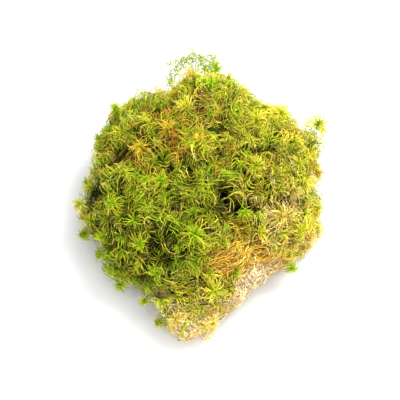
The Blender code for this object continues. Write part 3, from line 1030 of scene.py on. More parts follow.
@dataclass(frozen=True)
class Plant:
    """A shoot's head: where it stands, which way it points, how far it spreads and its colour."""

    place: Array
    axis: Array
    spread: float
    tint: Tint
    node: str = ""

    @classmethod
    def from_node(cls, node: str, tint: Tint) -> "Plant":
        """Reads a head from its solid, whose crown and stem end are its busiest corners.

        Args:
            node: The node's name.
            tint: The colour that the plant has grown.

        Returns:
            The plant.
        """
        bm = welded(node)
        busy = sorted(bm.verts, key=lambda vert: len(vert.link_edges))[-2:]
        ends = sorted((np.array(vert.co) for vert in busy), key=lambda end: end @ end)
        stem_end, crown = ends
        axis = unit(crown - stem_end)
        offsets = vertex_places(bm.verts) - stem_end
        aside = offsets - np.outer(offsets @ axis, axis)
        spread = float(np.linalg.norm(aside, axis=1).max())
        bm.free()
        return cls(crown - axis * 0.3 * spread, axis, spread, tint, node)


@dataclass(frozen=True)
class StarHead:
    """How a head's branches stand: short and upright in its heart, long and hanging round it."""

    branches: int = 34
    heart_angle: float = 10.0  # degrees from the head's axis
    rim_angle: float = 96.0
    heart_length: float = 0.45  # of the spread
    nodding: float = 10.0  # degrees by which the branches stray from their angle
    straying: float = 0.35  # radians by which they stray round the axis
    bend: float = 80.0  # degrees that a rim branch curves down
    uneven: float = 40.0  # degrees by which the bends differ
    swing: float = 52.0  # degrees by which a branch turns aside
    stem_run: float = 1.6 * MM  # the rim branches leave the stem this far below the heart
    comb: float = 0.55  # how far all the branches are swept one way
    width: Span = (0.70, 1.08)
    ripeness: Span = (0.5, 1.1)  # in the heart and at the rim

    def curves(self, plant: Plant, rng: Rng) -> tuple[Array, Array]:
        """Lays out one head.

        Args:
            plant: The head's place and spread.
            rng: The source of the branches' differences.

        Returns:
            Four points for each branch, and each branch's rank from 0 in the heart to 1.
        """
        count = self.branches
        rank = (np.arange(count) + 0.5) / count
        azimuth = np.arange(count) * GOLDEN_ANGLE + rng.normal(0.0, self.straying, count)
        polar = self.heart_angle + (self.rim_angle - self.heart_angle) * rank**0.75
        polar = np.radians(polar + rng.normal(0.0, self.nodding, count))
        length = self.heart_length + (1.0 - self.heart_length) * rank**0.6
        length = plant.spread * length * rng.uniform(0.80, 1.25, count)
        bend = np.radians(rng.normal(self.bend, self.uneven, count)) * (0.30 + 0.70 * rank)
        swing = np.radians(rng.normal(0.0, self.swing, count))
        lie = flow(plant.place[None], plant.axis[None])[0]
        swept = unit(lie + 0.5 * rng.normal(size=3)) * self.comb
        first, last = (
            unit(self._ways(plant.axis, polar + more, azimuth + turned) + swept * share)
            for more, turned, share in ((0.0, 0.0, 0.3), (bend, swing, 1.0))
        )
        length = length[:, None]
        root = plant.place - np.outer(self.stem_run * rank, plant.axis) + first * 0.1 * MM
        end = root + unit(first + last) * length * 0.86
        points = [root, root + first * 0.46 * length, end - last * 0.40 * length, end]
        return np.stack(points, 1), rank

    @staticmethod
    def _ways(axis: Array, polar: Array, azimuth: Array) -> Array:
        """Returns directions at angles from an axis and round it.

        Args:
            axis: The axis.
            polar: The angles from the axis, in radians.
            azimuth: The angles round it, in radians.

        Returns:
            A direction for each two angles.
        """
        first, second = perpendicular(axis)
        ring = np.outer(np.cos(azimuth), first) + np.outer(np.sin(azimuth), second)
        return np.outer(np.cos(polar), axis) + ring * np.sin(polar)[:, None]

    def fill(self, thatch: Thatch, plant: Plant, tone: float, scorched: float, rng: Rng) -> None:
        """Adds one head's branches.

        Args:
            thatch: Where they go.
            plant: The head's place and spread.
            tone: How light the head is, from 0 to 1.
            scorched: The share of its branches with brown tips.
            rng: The source of the branches' differences.
        """
        curves, rank = self.curves(plant, rng)
        clear = clear_of_gaps(curves)
        curves, rank = curves[clear], rank[clear]
        count = len(curves)
        brown = for_some(scorched, (0.4, 1.0), count, rng)
        thatch.add(
            curves, rng.uniform(*self.width, count),
            rng.normal(tone, 0.24, count) + 0.10 * (1.0 - rank), brown * rank,
            ripeness=self.ripeness[0] + (self.ripeness[1] - self.ripeness[0]) * rank,
        )


class HeadKind(Enum):
    """The forms that the heads have grown."""

    TUFT = StarHead(
        branches=32, heart_angle=6.0, rim_angle=78.0, heart_length=0.60, bend=30.0, uneven=18.0,
        comb=0.15, width=(1.05, 1.4), ripeness=(0.15, 0.7),
    )
    MOP = StarHead(
        branches=34, heart_angle=20.0, rim_angle=104.0, heart_length=0.60, bend=108.0,
        uneven=40.0, swing=50.0, comb=0.65,
    )
    STAR = StarHead(branches=34)
    HANGING = StarHead(
        branches=20, heart_angle=75.0, rim_angle=140.0, heart_length=0.85, bend=30.0,
        uneven=28.0, swing=36.0, comb=0.35, stem_run=6.5 * MM, width=(0.8, 1.1),
    )
    FULL_STAR = StarHead(
        branches=56, bend=82.0, uneven=46.0, swing=58.0, comb=0.50, width=(0.8, 1.2),
    )
    FULL_MOP = StarHead(
        branches=58, heart_angle=14.0, rim_angle=104.0, heart_length=0.58, bend=112.0, uneven=48.0,
        swing=64.0, comb=0.72, width=(0.8, 1.15),
    )
    CURLY = StarHead(
        branches=56, heart_angle=24.0, rim_angle=112.0, heart_length=0.70, bend=105.0, uneven=70.0,
        swing=90.0, comb=0.95, width=(0.6, 0.95),
    )


# Stretches of the clump where one colour prevails: where, how far and how strongly, in millimetres
ZONES = (
    (Tint.GREEN, -40.0, -20.0, 26.0, 1.0), (Tint.GREEN, -18.0, -45.0, 22.0, 1.5),
    (Tint.GREEN, -3.0, -24.0, 12.0, 2.2), (Tint.GREEN, -36.0, 30.0, 14.0, 0.9),
    (Tint.GREEN, -38.0, -40.0, 16.0, 2.4), (Tint.GREEN, 12.0, 20.0, 9.0, 0.9),
    (Tint.GREEN, 13.0, 44.0, 9.0, 1.6), (Tint.YELLOW, 30.0, 35.0, 28.0, 2.4),
    (Tint.YELLOW, 40.0, 0.0, 26.0, 2.6), (Tint.AMBER, -6.0, 18.0, 18.0, 0.8),
    (Tint.AMBER, -4.0, 48.0, 12.0, 0.8), (Tint.YELLOW, -30.0, 8.0, 16.0, 0.8),
    (Tint.AMBER, 20.0, -34.0, 10.0, 1.6), (Tint.PALE, 44.0, -26.0, 17.0, 3.4),
    (Tint.YELLOW, 6.0, -48.0, 11.0, 1.8), (Tint.PALE, 1.0, -68.0, 12.0, 4.0),
    (Tint.YELLOW, -14.0, -58.0, 10.0, 1.2),
)
TINTS_OF_HEADS = (Tint.GREEN, Tint.YELLOW, Tint.AMBER, Tint.PALE)
EVEN_SHARE = (0.24, 0.42, 0.10, 0.0)  # of each tint where no zone reaches


def tint_shares(place: Array) -> Array:
    """Returns the chance of each of TINTS_OF_HEADS at a place.

    Args:
        place: The place.

    Returns:
        The four chances, which add up to 1.
    """
    shares = np.array(EVEN_SHARE)
    for tint, x, y, reach, weight in ZONES:
        apart = math.hypot(place[0] - x * MM, place[1] - y * MM) / (reach * MM)
        shares[TINTS_OF_HEADS.index(tint)] += weight * math.exp(-apart * apart)
    return shares / shares.sum()


# Azimuth in degrees, and in millimetres how high the straw reaches and where living moss begins
FOOT_LINES = np.array((
    (0, 3, 2), (90, 3, 2), (200, 3, 2), (246, 4, 2), (256, 11, 1), (274, 12, 1), (281, 16, 8),
    (287, 22, 21), (296, 25, 25), (303, 22, 22), (312, 18, 18), (320, 12, 11), (330, 5, 3),
    (345, 3, 2), (360, 3, 2),
))


def foot_line(azimuth: Array, moss: bool = False) -> Array:
    """Returns how high the straw reaches, or where the moss begins, at azimuths in radians."""
    heights = FOOT_LINES[:, 2 if moss else 1] * MM
    return np.interp(np.degrees(azimuth) % 360.0, FOOT_LINES[:, 0], heights)


@dataclass
class Joiner:
    """Makes gathered branches into one mesh piece."""

    mound: Mound
    rng: Rng
    # Painted shade: a branch's colour darkens the deeper it lies under the mound
    shade_from: float = 2.2 * MM  # over the mound: above this no painted shade is added
    shade_full: float = -2.4 * MM
    shade_most: float = 0.94
    lit_shade: float = 0.60  # how much less painted shade there is in the painted light spots
    lit_tone: float = 0.34  # how much lighter the branches are painted there
    chart_margin: float = 0.06

    def join(self, name: str, thatches: Sequence[Thatch], tint: Tint,
             nodes: Sequence[str] = ()) -> Piece:
        """Bends, joins and dresses branches.

        Args:
            name: The piece's name.
            thatches: The gathered branches.
            tint: The finish, with its slot.
            nodes: The CAD nodes that the piece stands for.

        Returns:
            The finished piece.
        """
        thatches = [thatch for thatch in thatches if thatch.count()]
        total = sum(thatch.count() for thatch in thatches)
        across = math.ceil(math.sqrt(total))
        parts = {key: [] for key in (*FACTS, "co", "tri", "uv", "smooth")}
        base, serial = 0, 0
        for thatch in thatches:
            prototype = thatch.shape.prototype()
            count, size = thatch.count(), len(prototype.places)
            places = thatch.bent(prototype, self.rng)
            places[..., 2] = np.maximum(places[..., 2], 0.1 * MM)
            _, tone, scorch, age, ripeness = np.concatenate(thatch.facts).T[..., None]
            along = np.broadcast_to(np.clip(prototype.places[:, 2], 0.0, 1.0), (count, size))
            # Painted shade darkens each vertex the deeper it lies; painted light lightens it in the
            # loose spots
            painted_shade = self.shade_from - self.mound.height_over(places)
            painted_shade, lit = painted_shade / (self.shade_from - self.shade_full), nearest(PAINTED_LIGHT, places)
            painted_shade = np.clip(painted_shade, 0.0, 1.0) * self.shade_most * (1.0 - self.lit_shade * lit)
            cell = np.arange(serial, serial + count)
            corner = np.stack([cell % across, cell // across], 1)[:, None, None, :]
            inset = self.chart_margin + (1.0 - 2.0 * self.chart_margin) * prototype.chart[None]
            first = base + size * np.arange(count)[:, None, None]
            for key, values in (
                ("co", places.reshape(-1, 3)),
                ("tri", (prototype.corners[None] + first).reshape(-1, 3)),
                ("uv", ((corner + inset) / across).reshape(-1, 2)),
                ("smooth", np.tile(prototype.smooth, count)),
                ("along", np.clip(along * ripeness, 0.0, 1.0).ravel()),
                ("tone", np.clip(tone + self.lit_tone * lit, 0.0, 1.0).ravel()),
                ("depth", np.maximum(painted_shade, age).ravel()),
                ("scorch", np.clip(scorch * along**2, 0.0, 1.0).ravel()),
            ):
                parts[key].append(values)
            base += count * size
            serial += count
        piece = self._object(name, {key: np.concatenate(value) for key, value in parts.items()})
        piece.data.materials.append(moss_material(tint))
        return place_piece(piece, tint.slot, nodes)

    @staticmethod
    def _object(name: str, arrays: dict[str, Array]) -> Piece:
        """Makes an object from joined arrays.

        Args:
            name: The object's name.
            arrays: Its vertices, triangles, chart, smooth faces and facts.

        Returns:
            The object.
        """
        mesh = bpy.data.meshes.new(name)
        triangles = len(arrays["tri"])
        mesh.vertices.add(len(arrays["co"]))
        mesh.vertices.foreach_set("co", arrays["co"].astype(np.float32).ravel())
        mesh.loops.add(3 * triangles)
        mesh.loops.foreach_set("vertex_index", arrays["tri"].astype(np.int32).ravel())
        mesh.polygons.add(triangles)
        mesh.polygons.foreach_set("loop_start", np.arange(0, 3 * triangles, 3, dtype=np.int32))
        mesh.polygons.foreach_set("use_smooth", arrays["smooth"])
        mesh.update(calc_edges=True)
        chart = mesh.uv_layers.new(name="OFBake")
        chart.data.foreach_set("uv", arrays["uv"].astype(np.float32).ravel())
        for key in FACTS:
            layer = mesh.attributes.new(key, "FLOAT", "POINT")
            layer.data.foreach_set("value", arrays[key].astype(np.float32))
        return add_object(name, mesh)


@cache
def moss_material(tint: Tint) -> bpy.types.Material:
    """Returns the one material of a tint."""
    return FINISHES[tint].material()


def place_piece(piece: Piece, slot: str, nodes: Sequence[str]) -> Piece:
    """Fixes a finished piece to the clump.

    Args:
        piece: The piece.
        slot: The record's slot that its finish comes from; not used.
        nodes: The CAD nodes that it stands for.

    Returns:
        The same piece.
    """
    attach(piece, BODY)
    if nodes:
        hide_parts(*nodes)
    log.info("%s: %d faces", piece.name, len(piece.data.polygons))
    return piece


@dataclass
class Growth:
    """A part of the moss, whose branches become pieces."""

    joiner: Joiner

    @property
    def mound(self) -> Mound:
        """Returns the mound that it grows on."""
        return self.joiner.mound


@dataclass
class StandingShoots(Growth):
    """The shoots that stand clear of the mat, one piece for each node."""

    plants: Sequence[Plant]
    full: BranchShape = BranchShape(leaves=9, leaf_spread=0.34 * MM)
    below: BranchShape = BranchShape(leaves=5, rings=3)
    tuft: StarHead = replace(HeadKind.TUFT.value, branches=20, ripeness=(0.05, 0.45))
    hanging_drop: float = 1.6 * MM  # from the heart to where the hanging branches begin
    rooted: float = 4.0 * MM  # how deep in the mat the stem's branches still show
    stem_run: Span = mm(6.0, 16.0)  # the shortest and longest leafy stem
    branch_step: float = 0.32 * MM
    outlying: float = 4.4 * MM  # a head this far over the mat has grown wide
    tipped: Span = (0.10, 0.18)  # the share of scorched tips, of green plants and of others
    sunny: Span = (30.0 * MM, 0.0)  # further right and back more of the tips are scorched
    tipped_in_sun: float = 0.50
    tones: Span = (0.48, 0.60)  # of pale plants and of others
    tone_below: float = 0.42
    # Heads whose branches reach beyond the rays of their solids, and by what factor
    grown: tuple[tuple[str, float], ...] = (
        ("shoot_01", 1.15), ("shoot_03", 1.45), ("shoot_04", 1.35), ("shoot_10", 1.10),
    )

    def build(self, rng: Rng) -> Iterator[Piece]:
        """Builds each shoot.

        Args:
            rng: The source of the differences between branches.

        Returns:
            The pieces, one after another.
        """
        for plant in self.plants:
            crown, under = Thatch(self.full), Thatch(self.below)
            clear = float(self.mound.height_over(plant.place))
            green = plant.tint is Tint.GREEN
            wide = clear > self.outlying or rng.uniform() < 0.15
            head = HeadKind.FULL_STAR.value if wide else HeadKind.FULL_MOP.value
            if plant.tint is Tint.PALE:
                head = HeadKind.CURLY.value
            plant = replace(plant, spread=plant.spread * dict(self.grown).get(plant.node, 1.0))
            if green:
                head = replace(head, branches=44, ripeness=(0.45, 1.05))
                tuft = replace(plant, spread=0.55 * plant.spread)
                self.tuft.fill(crown, tuft, 0.80, 0.0, rng)
            tipped = self.tipped[0 if green else 1]
            if min(plant.place[0] - self.sunny[0], plant.place[1] - self.sunny[1]) > 0.0:
                tipped = self.tipped_in_sun
            tone = self.tones[0 if plant.tint is Tint.PALE else 1]
            head.fill(crown, plant, tone, tipped, rng)
            lower = Plant(
                plant.place - plant.axis * self.hanging_drop, plant.axis, plant.spread, plant.tint
            )
            run = min(max(clear + self.rooted, self.stem_run[0]), self.stem_run[1])
            hanging = replace(
                HeadKind.HANGING.value, stem_run=run, branches=round(run / self.branch_step)
            )
            hanging.fill(under, lower, self.tone_below, 0.12, rng)
            yield self.joiner.join(
                f"{plant.node}_plant", (crown, under), plant.tint, (plant.node,)
            )


@dataclass
class MatHeads(Growth):
    """The further heads that make up the mat, side by side all over it."""

    taken: Sequence[Plant]
    spacing: float = 7.0 * MM
    spread: float = 6.0 * MM
    tuft_spread: float = 4.6 * MM
    lift: Span = mm(1.0, 1.1)  # the mean and how far it varies
    candidates: int = 12000
    upright: float = 0.25  # how far they turn up from square to the mound
    lean: float = 0.32  # how much they differ in that
    tufts: Span = (0.34, 0.04)  # the share of tufts among green heads and among others
    mops: float = 0.88  # the share of mops among the rest
    tones: Span = (0.66, 0.48)  # the mean of tufts and of others
    foot_margin: float = 3.5 * MM  # how far over the straw the lowest heads stand
    full: BranchShape = BranchShape(leaves=6)

    def plants(self, rng: Rng) -> list[tuple[Plant, HeadKind]]:
        """Picks where the heads stand and what form they have.

        Args:
            rng: The source of the picks.

        Returns:
            The heads, none too near another or a shoot that stands clear.
        """
        azimuth, _, points, normals = self.mound.scatter(self.candidates, rng)
        barred = np.maximum(nearest(GAPS, points), 0.9 * DEAD_PATCH.nearness(points)) > 0.45
        barred |= points[:, 2] < foot_line(azimuth) + self.foot_margin
        kept = [plant.place for plant in self.taken]
        found = []
        for point, normal in zip(points[~barred], normals[~barred]):
            if np.linalg.norm(np.array(kept) - point, axis=1).min() < self.spacing:
                continue
            kept.append(point)
            lean = rng.normal(0.0, self.lean, 3)
            axis = unit(normal * (1.0 - self.upright) + UP * self.upright + lean)
            tint = TINTS_OF_HEADS[rng.choice(4, p=tint_shares(point))]
            tufts = self.tufts[0 if tint is Tint.GREEN else 1]
            mops = self.mops * (1.0 - tufts)
            kinds = (HeadKind.TUFT, HeadKind.MOP, HeadKind.STAR)
            kind = kinds[rng.choice(3, p=(tufts, mops, 1.0 - tufts - mops))]
            if tint is Tint.PALE:
                kind = HeadKind.CURLY
            size = self.tuft_spread if kind is HeadKind.TUFT else self.spread
            place = point + normal * rng.normal(*self.lift)
            found.append((Plant(place, axis, size * rng.uniform(0.7, 1.3), tint), kind))
        return found

    def build(self, rng: Rng) -> Iterator[Piece]:
        """Builds the heads, one piece for each colour.

        Args:
            rng: The source of the differences between branches.

        Returns:
            The pieces, one after another.
        """
        plants = self.plants(rng)
        for tint in TINTS_OF_HEADS:
            thatch = Thatch(self.full)
            for plant, kind in plants:
                if plant.tint is tint:
                    tone = rng.normal(self.tones[0 if kind is HeadKind.TUFT else 1], 0.14)
                    scorched = 0.30 if tint is Tint.AMBER else 0.12
                    scorched = scorched + 0.5 * float(nearest(RUST, plant.place))
                    kind.value.fill(thatch, plant, tone, scorched, rng)
            if thatch.count():
                yield self.joiner.join(f"mat_heads_{tint.value[0]}", (thatch,), tint)


@dataclass
class Tangle(Growth):
    """The branches under and between the heads, side by side in combed tresses."""

    tresses: int = 3000
    strands: tuple[int, int] = (3, 9)  # from this many in a tress, to fewer than this
    apart: float = 0.96 * MM  # between the strands of a tress
    length: Span = mm(4.5, 9.5)
    depth: Span = mm(-1.7, 3.6)
    straying: float = 0.85  # how far the tresses lie across the flow
    climbing: Span = (0.10, 0.32)  # mean and spread of how they leave the mound
    curl: float = 0.42  # how much they bend, as a share of their length
    standing_off: float = 0.12  # how far their middles stand off, as a share of their length
    rust: float = 0.04  # the share of tresses that have browned outside the rusted stretches
    scorched: float = 0.14  # the share of the other strands with brown tips
    tone: Span = (0.46, 0.17)  # the mean, and how far the tresses differ
    thin: BranchShape = BranchShape(leaves=5, rings=3, leaf_spread=0.29 * MM)

    def curves(self, azimuth: Array, climb: Array, rng: Rng) -> tuple[Array, Array]:
        """Lays tresses along the mound's surface.

        Args:
            azimuth: Directions of their middles, in radians.
            climb: Climbs of their middles, in radians.
            rng: The source of their directions and bends.

        Returns:
            Four points for each strand, and the number of its tress.
        """
        points, normals = self.mound.surface(azimuth, climb)
        count = len(points)
        way = flow(points, normals) + self.straying * rng.normal(size=(count, 3))
        way = unit(way - normals * (way * normals).sum(1, keepdims=True))
        way = unit(way + normals * rng.normal(*self.climbing, (count, 1)))
        length, depth = rng.uniform(*self.length, count), rng.uniform(*self.depth, count)
        bow = rng.normal(0.0, self.curl, count)
        lift = rng.normal(self.standing_off, 0.5 * self.curl, count)
        twist = rng.normal(0.0, 0.4 * self.curl, count)
        sizes = rng.integers(*self.strands, count)
        tress = np.repeat(np.arange(count), sizes)
        rank = np.arange(len(tress)) - np.repeat(np.cumsum(sizes) - sizes, sizes)
        aside = (rank - 0.5 * (sizes[tress] - 1)) * self.apart

        def about(mean: Array, spread: float) -> Array:
            """Returns each strand's own value, near its tress's."""
            return mean[tress] + spread * rng.normal(size=(len(tress), *mean.shape[1:]))

        ways, square = unit(about(way, 0.10)), normals[tress]
        middle = about(points, 0.25 * MM) + np.cross(square, ways) * aside[:, None]
        middle += ways * rng.normal(0.0, 0.9 * MM, (len(tress), 1))
        middle -= square * about(depth, 0.35 * MM)[:, None]
        curves = arcs(
            middle, ways, square, about(length, 0.6 * MM), about(bow, 0.07), about(lift, 0.06),
            about(twist, 0.05),
        )
        return curves, tress

    def build(self, rng: Rng) -> Iterator[Piece]:
        """Builds the tangle, one piece for each colour.

        Args:
            rng: The source of the differences between branches.

        Returns:
            The pieces, one after another.
        """
        azimuth, climb, points, _ = self.mound.scatter(self.tresses, rng)
        kept = points[:, 2] > foot_line(azimuth, moss=True)
        kept &= nearest(GAPS, points) < rng.uniform(0.4, 1.15, len(points))
        kept &= DEAD_PATCH.nearness(points) < rng.uniform(0.25, 0.8, len(points))
        azimuth, climb, points = azimuth[kept], climb[kept], points[kept]
        shares = [tint_shares(point) for point in points]
        picks = np.array([rng.choice(4, p=share) for share in shares])
        for number, tint in enumerate(TINTS_OF_HEADS):
            chosen = picks == number
            if not chosen.any():
                continue
            curves, tress = self.curves(azimuth[chosen], climb[chosen], rng)
            clear = clear_of_gaps(curves, 0.72)
            curves, tress = curves[clear], tress[clear]
            count, groups = len(curves), int(chosen.sum())
            light = rng.normal(*self.tone, groups)[tress] + rng.normal(0.0, 0.20, count)
            tips = for_some(self.scorched, (0.3, 1.0), count, rng)
            rust = self.rust + 0.6 * nearest(RUST, points[chosen])
            rusted = (rng.uniform(size=groups) < rust)[tress]
            thatch = Thatch(self.thin)
            thatch.add(
                curves, rng.uniform(0.72, 1.08, count), light,
                np.where(rusted, rng.uniform(1.0, 4.0, count), tips),
                ripeness=rng.uniform(0.3, 1.1, groups)[tress],
            )
            yield self.joiner.join(f"mat_tangle_{tint.value[0]}", (thatch,), tint)


@dataclass
class StrawSide(Growth):
    """The matted dead stems of the bare side and the foot, with brown crumbs in them."""

    tries: int = 78000
    crumbs: int = 300
    lying: Lay = Lay(
        mm(1.8, 7.0), mm(-1.4, 1.0),
        ((0.0, 0.36), (0.05, 0.144), (0.0, 0.144)), (0.05, 0.22),
    )
    crumbs_lying: Lay = Lay(
        mm(0.6, 1.5), mm(-0.8, 0.2),
        ((0.0, 0.1), (0.05, 0.04), (0.0, 0.04)), (0.05, 0.22),
    )
    browned: float = 0.12  # the share of the stems, more or less dark
    tone: Span = (0.60, 0.30)
    frayed: Span = (304.0, 322.0)  # azimuths where the stems are old and grey
    fibre: BranchShape = BranchShape(
        leaves=1, rings=2, stalk_radius=0.10 * MM, leaf_length=0.35, leaf_spread=0.28 * MM,
        leaf_width=0.40 * MM, taper=0.25,
    )
    crumb: BranchShape = BranchShape(leaves=0, rings=3, sides=5, stalk_radius=0.32 * MM, taper=0.3)

    def _lay(self, azimuth: Array, climb: Array, lay: Lay, rng: Rng) -> Array:
        """Lays loose pieces every way on the mound's surface.

        Args:
            azimuth: Directions round the middle, in radians.
            climb: Directions above the level, in radians.
            lay: How the pieces lie.
            rng: The source of their differences.

        Returns:
            Four points for each.
        """
        points, normals = self.mound.surface(azimuth, climb)
        way = rng.normal(size=points.shape) + 0.5 * flow(points, normals)
        return lay.curves(points, normals, way, rng)

    def build(self, rng: Rng) -> Iterator[Piece]:
        """Builds all the straw as one piece.

        Args:
            rng: The source of the differences between branches.

        Returns:
            The pieces, one after another.
        """
        azimuth, climb, points, _ = self.mound.scatter(self.tries, rng)
        low = points[:, 2] < foot_line(azimuth) * rng.uniform(0.7, 1.2, len(points))
        azimuth, climb = azimuth[low], climb[low]
        count = len(azimuth)
        fibres, crumbs = Thatch(self.fibre), Thatch(self.crumb)
        brown = for_some(self.browned, (0.5, 2.0), count, rng)
        degrees = np.degrees(azimuth) % 360.0
        old = (degrees > self.frayed[0]) & (degrees < self.frayed[1])
        fibres.add(
            self._lay(azimuth, climb, self.lying, rng), rng.uniform(0.8, 1.6, count),
            rng.normal(*self.tone, count), brown,
            age=np.where(old, rng.uniform(0.1, 0.7, count), rng.uniform(0.0, 0.2, count)),
        )
        few = rng.choice(count, self.crumbs, replace=False)
        crumbs.add(
            self._lay(azimuth[few], climb[few], self.crumbs_lying, rng),
            rng.uniform(0.7, 1.5, self.crumbs), 0.2, rng.uniform(2.0, 6.0, self.crumbs),
            age=rng.uniform(0.2, 0.6, self.crumbs),
        )
        yield self.joiner.join("straw_side", (fibres, crumbs), Tint.STRAW)


@dataclass
class DeadPatch(Growth):
    """The patch of dead ochre moss, its fine branches combed flat over each other."""

    tries: int = 60000
    heading: Triple = (0.9, 0.34, 0.30)
    browned: float = 0.12
    tone: Span = (0.60, 0.32)
    lying: Lay = Lay(
        mm(3.0, 8.0), mm(-1.4, 1.8), ((0.0, 0.16), (0.10, 0.10), (0.0, 0.08)),
    )
    fibre: BranchShape = BranchShape(
        leaves=3, rings=3, stalk_radius=0.11 * MM, leaf_length=0.26, leaf_spread=0.24 * MM,
        leaf_width=0.34 * MM, taper=0.3,
    )

    def build(self, rng: Rng) -> Iterator[Piece]:
        """Builds the patch as one piece.

        Args:
            rng: The source of the differences between branches.

        Returns:
            The pieces, one after another.
        """
        azimuth, _, points, normals = self.mound.scatter(self.tries, rng)
        inside = DEAD_PATCH.nearness(points) > rng.uniform(0.14, 0.9, len(points))
        inside &= points[:, 2] > foot_line(azimuth) + rng.normal(0.0, 0.8 * MM, len(points))
        points, normals = points[inside], normals[inside]
        count = len(points)
        way = np.array(self.heading) + 0.28 * rng.normal(size=(count, 3))
        way = way + 0.4 * flow(points, normals, size=9.0 * MM, fall=0.0)
        thatch = Thatch(self.fibre)
        curves = self.lying.curves(points, normals, way, rng)
        brown = for_some(self.browned, (0.3, 1.0), count, rng)
        thatch.add(
            curves, rng.uniform(0.8, 1.4, count), rng.normal(*self.tone, count), brown,
            ripeness=rng.uniform(0.2, 1.1, count),
        )
        yield self.joiner.join("dead_patch", (thatch,), Tint.OCHRE)


@dataclass
class Spray(Growth):
    """The wispy spray behind the crown: thin arching shoots beaded with tiny leaves.

    Its strands are drawn on a slanting plane through the heads of the three arching shoots.
    """

    nodes: tuple[str, ...] = ("spray_shoot_1", "spray_shoot_2", "spray_shoot_3")
    origin: Triple = mm(0.0, 57.3, 32.0)
    upward: Triple = (0.0, 0.866, 0.5)
    towards: Triple = (0.0, -0.5, 0.866)
    reaches: tuple[float, ...] = (0.92, 0.88, 0.93)  # how much of its solid's height each has
    depth: float = 2.0 * MM  # how far the strands' points lie off the plane, either way
    stems: int = 3  # side by side in each arching shoot
    stems_apart: float = 0.9 * MM
    extra: int = 175  # small curls along the strands
    extra_length: Span = mm(1.8, 4.2)
    bud_place: Triple = mm(6.3, 57.6, 32.2)
    bud_lean: Triple = (0.22, 0.0, 0.1)
    bud_spread: float = 5.9 * MM
    strand: BranchShape = BranchShape(
        leaves=16, rings=6, stalk_radius=0.20 * MM, leaf_length=0.12, leaf_width=0.48 * MM,
        leaf_spread=0.36 * MM, taper=0.30, last_leaf=0.92,
    )
    curl: BranchShape = BranchShape(
        leaves=8, rings=4, stalk_radius=0.17 * MM, leaf_length=0.20, leaf_width=0.42 * MM,
        leaf_spread=0.32 * MM, taper=0.35,
    )
    # Four points for each strand, across and up the plane in millimetres
    strands: tuple[tuple[float, ...], ...] = (
        (5.1, 0, 3.7, 2.7, 1.3, 4.7, -1.7, 5.6), (0.6, 4.7, -1.7, 6.8, -4.5, 6.9, -6.8, 5.6),
        (-6.2, 6.1, -7.9, 4.4, -10.2, 3.9, -11.9, 1.7),
        (-11.6, 2.3, -12.9, 0.7, -13, -1.4, -11.8, -2.3),
        (-11.9, 0.8, -13.3, 3, -15, 3.9, -16.3, 2.8),
        (-12.2, -0.2, -13.8, 2, -15.3, 1.4, -16.4, 1.4),
        (-15.1, 3, -15.6, 2.3, -16, 1.7, -16.4, 0.9), (-4.4, 6.6, -3.8, 8.3, -5.1, 8.7, -6.1, 9.6),
        (-7.5, 5.1, -6.5, 3.4, -5.1, 3, -5, 1.5), (-5, 1.5, -6.5, 1.2, -7.2, 2.9, -9, 2.8),
        (-8.4, 3, -9.7, 2.3, -9.3, 0, -8.8, -0.9), (-10.6, 3.9, -9.6, 1, -10.6, -0.5, -12.1, -0.8),
        (-3.4, -1.9, -3.9, 1, -3, 3, -3.3, 5.1), (-2.1, -1.9, -2.5, 1, -1.7, 2.7, -2.1, 5.2),
        (-4.5, 5.8, -1.7, 4.6, 0.3, 5.1, 3, 3.5), (-1, 1, -1.7, 3.7, 0.3, 4.1, 0.7, 5.6),
        (0.3, 0.7, -0.5, 2.7, 1.7, 3.4, 4, 2.7), (-2.1, 2, -0.4, 0.8, 1.3, 1.8, 2.9, 0.7),
        (1, -2.7, 0.2, -0.4, 1.7, 1, 4.1, 0.6), (3, -3.9, 1.6, -1.7, 2.3, 0, 5.1, 0.2),
        (-1.7, -1.9, -0.4, -2.1, 1.3, -0.9, 3.4, -1.9), (1.5, 5.8, 3, 6.2, 4, 5.7, 4.7, 5.8),
        (4.4, 4.5, 5.2, 4.2, 5.8, 5.5, 6.4, 6.2), (6.9, -3.9, 8.5, -3.3, 8.9, -4.5, 9.4, -3.8),
        (-15.7, -3.6, -15.5, -2.3, -13.8, -2.3, -13.6, -3.9),
        (-15.3, -3.2, -15.1, -4.4, -15.4, -5.5, -14.9, -6.5),
        (-13.6, -3.2, -13.2, -4.4, -13.6, -5.5, -14, -6.7),
        (-17.8, -4.3, -16.6, -5.4, -16.3, -6.8, -15.7, -8.4),
        (-12.6, -2.2, -11.9, -4, -11.1, -3, -10.2, -4),
        (-10.7, 4.5, -9.4, 3.4, -10.4, 2.3, -9.4, 0.8),
        (-6.9, 5.7, -5.1, 4.3, -3.6, 4.5, -1.6, 3.8), (-9.2, 4.2, -7.8, 3.7, -7.1, 5.1, -5.3, 4.7),
        (-5.5, 4.9, -4.3, 4, -5.2, 2.6, -3.6, 1.1), (3.7, -3.4, 4.5, -2.4, 3.6, -0.7, 4.9, -0.2),
        (-0.8, -0.9, 0.4, 0.5, 1.4, -0.1, 1.7, -1.6), (2.3, 1, 3.2, 2.3, 4.4, 1.3, 6.1, 2.7),
        (-3.8, 6.1, -4.8, 4.4, -6.5, 5.1, -7.9, 3), (-8.5, 5.4, -10.2, 5.1, -11.3, 3.4, -10.9, 1.3),
        (-12.6, 1, -14.3, 0, -13.3, -1.7, -11.6, -0.7),
        (-6.5, -2.4, -7.2, -0.4, -5.1, 0.3, -5.5, 2.3),
    )
    bud: StarHead = StarHead(
        branches=76, heart_angle=3.0, rim_angle=96.0, heart_length=0.72, bend=20.0, uneven=22.0,
        swing=20.0, comb=0.05, stem_run=4.6 * MM, width=(1.2, 1.6), ripeness=(0.45, 0.15),
    )

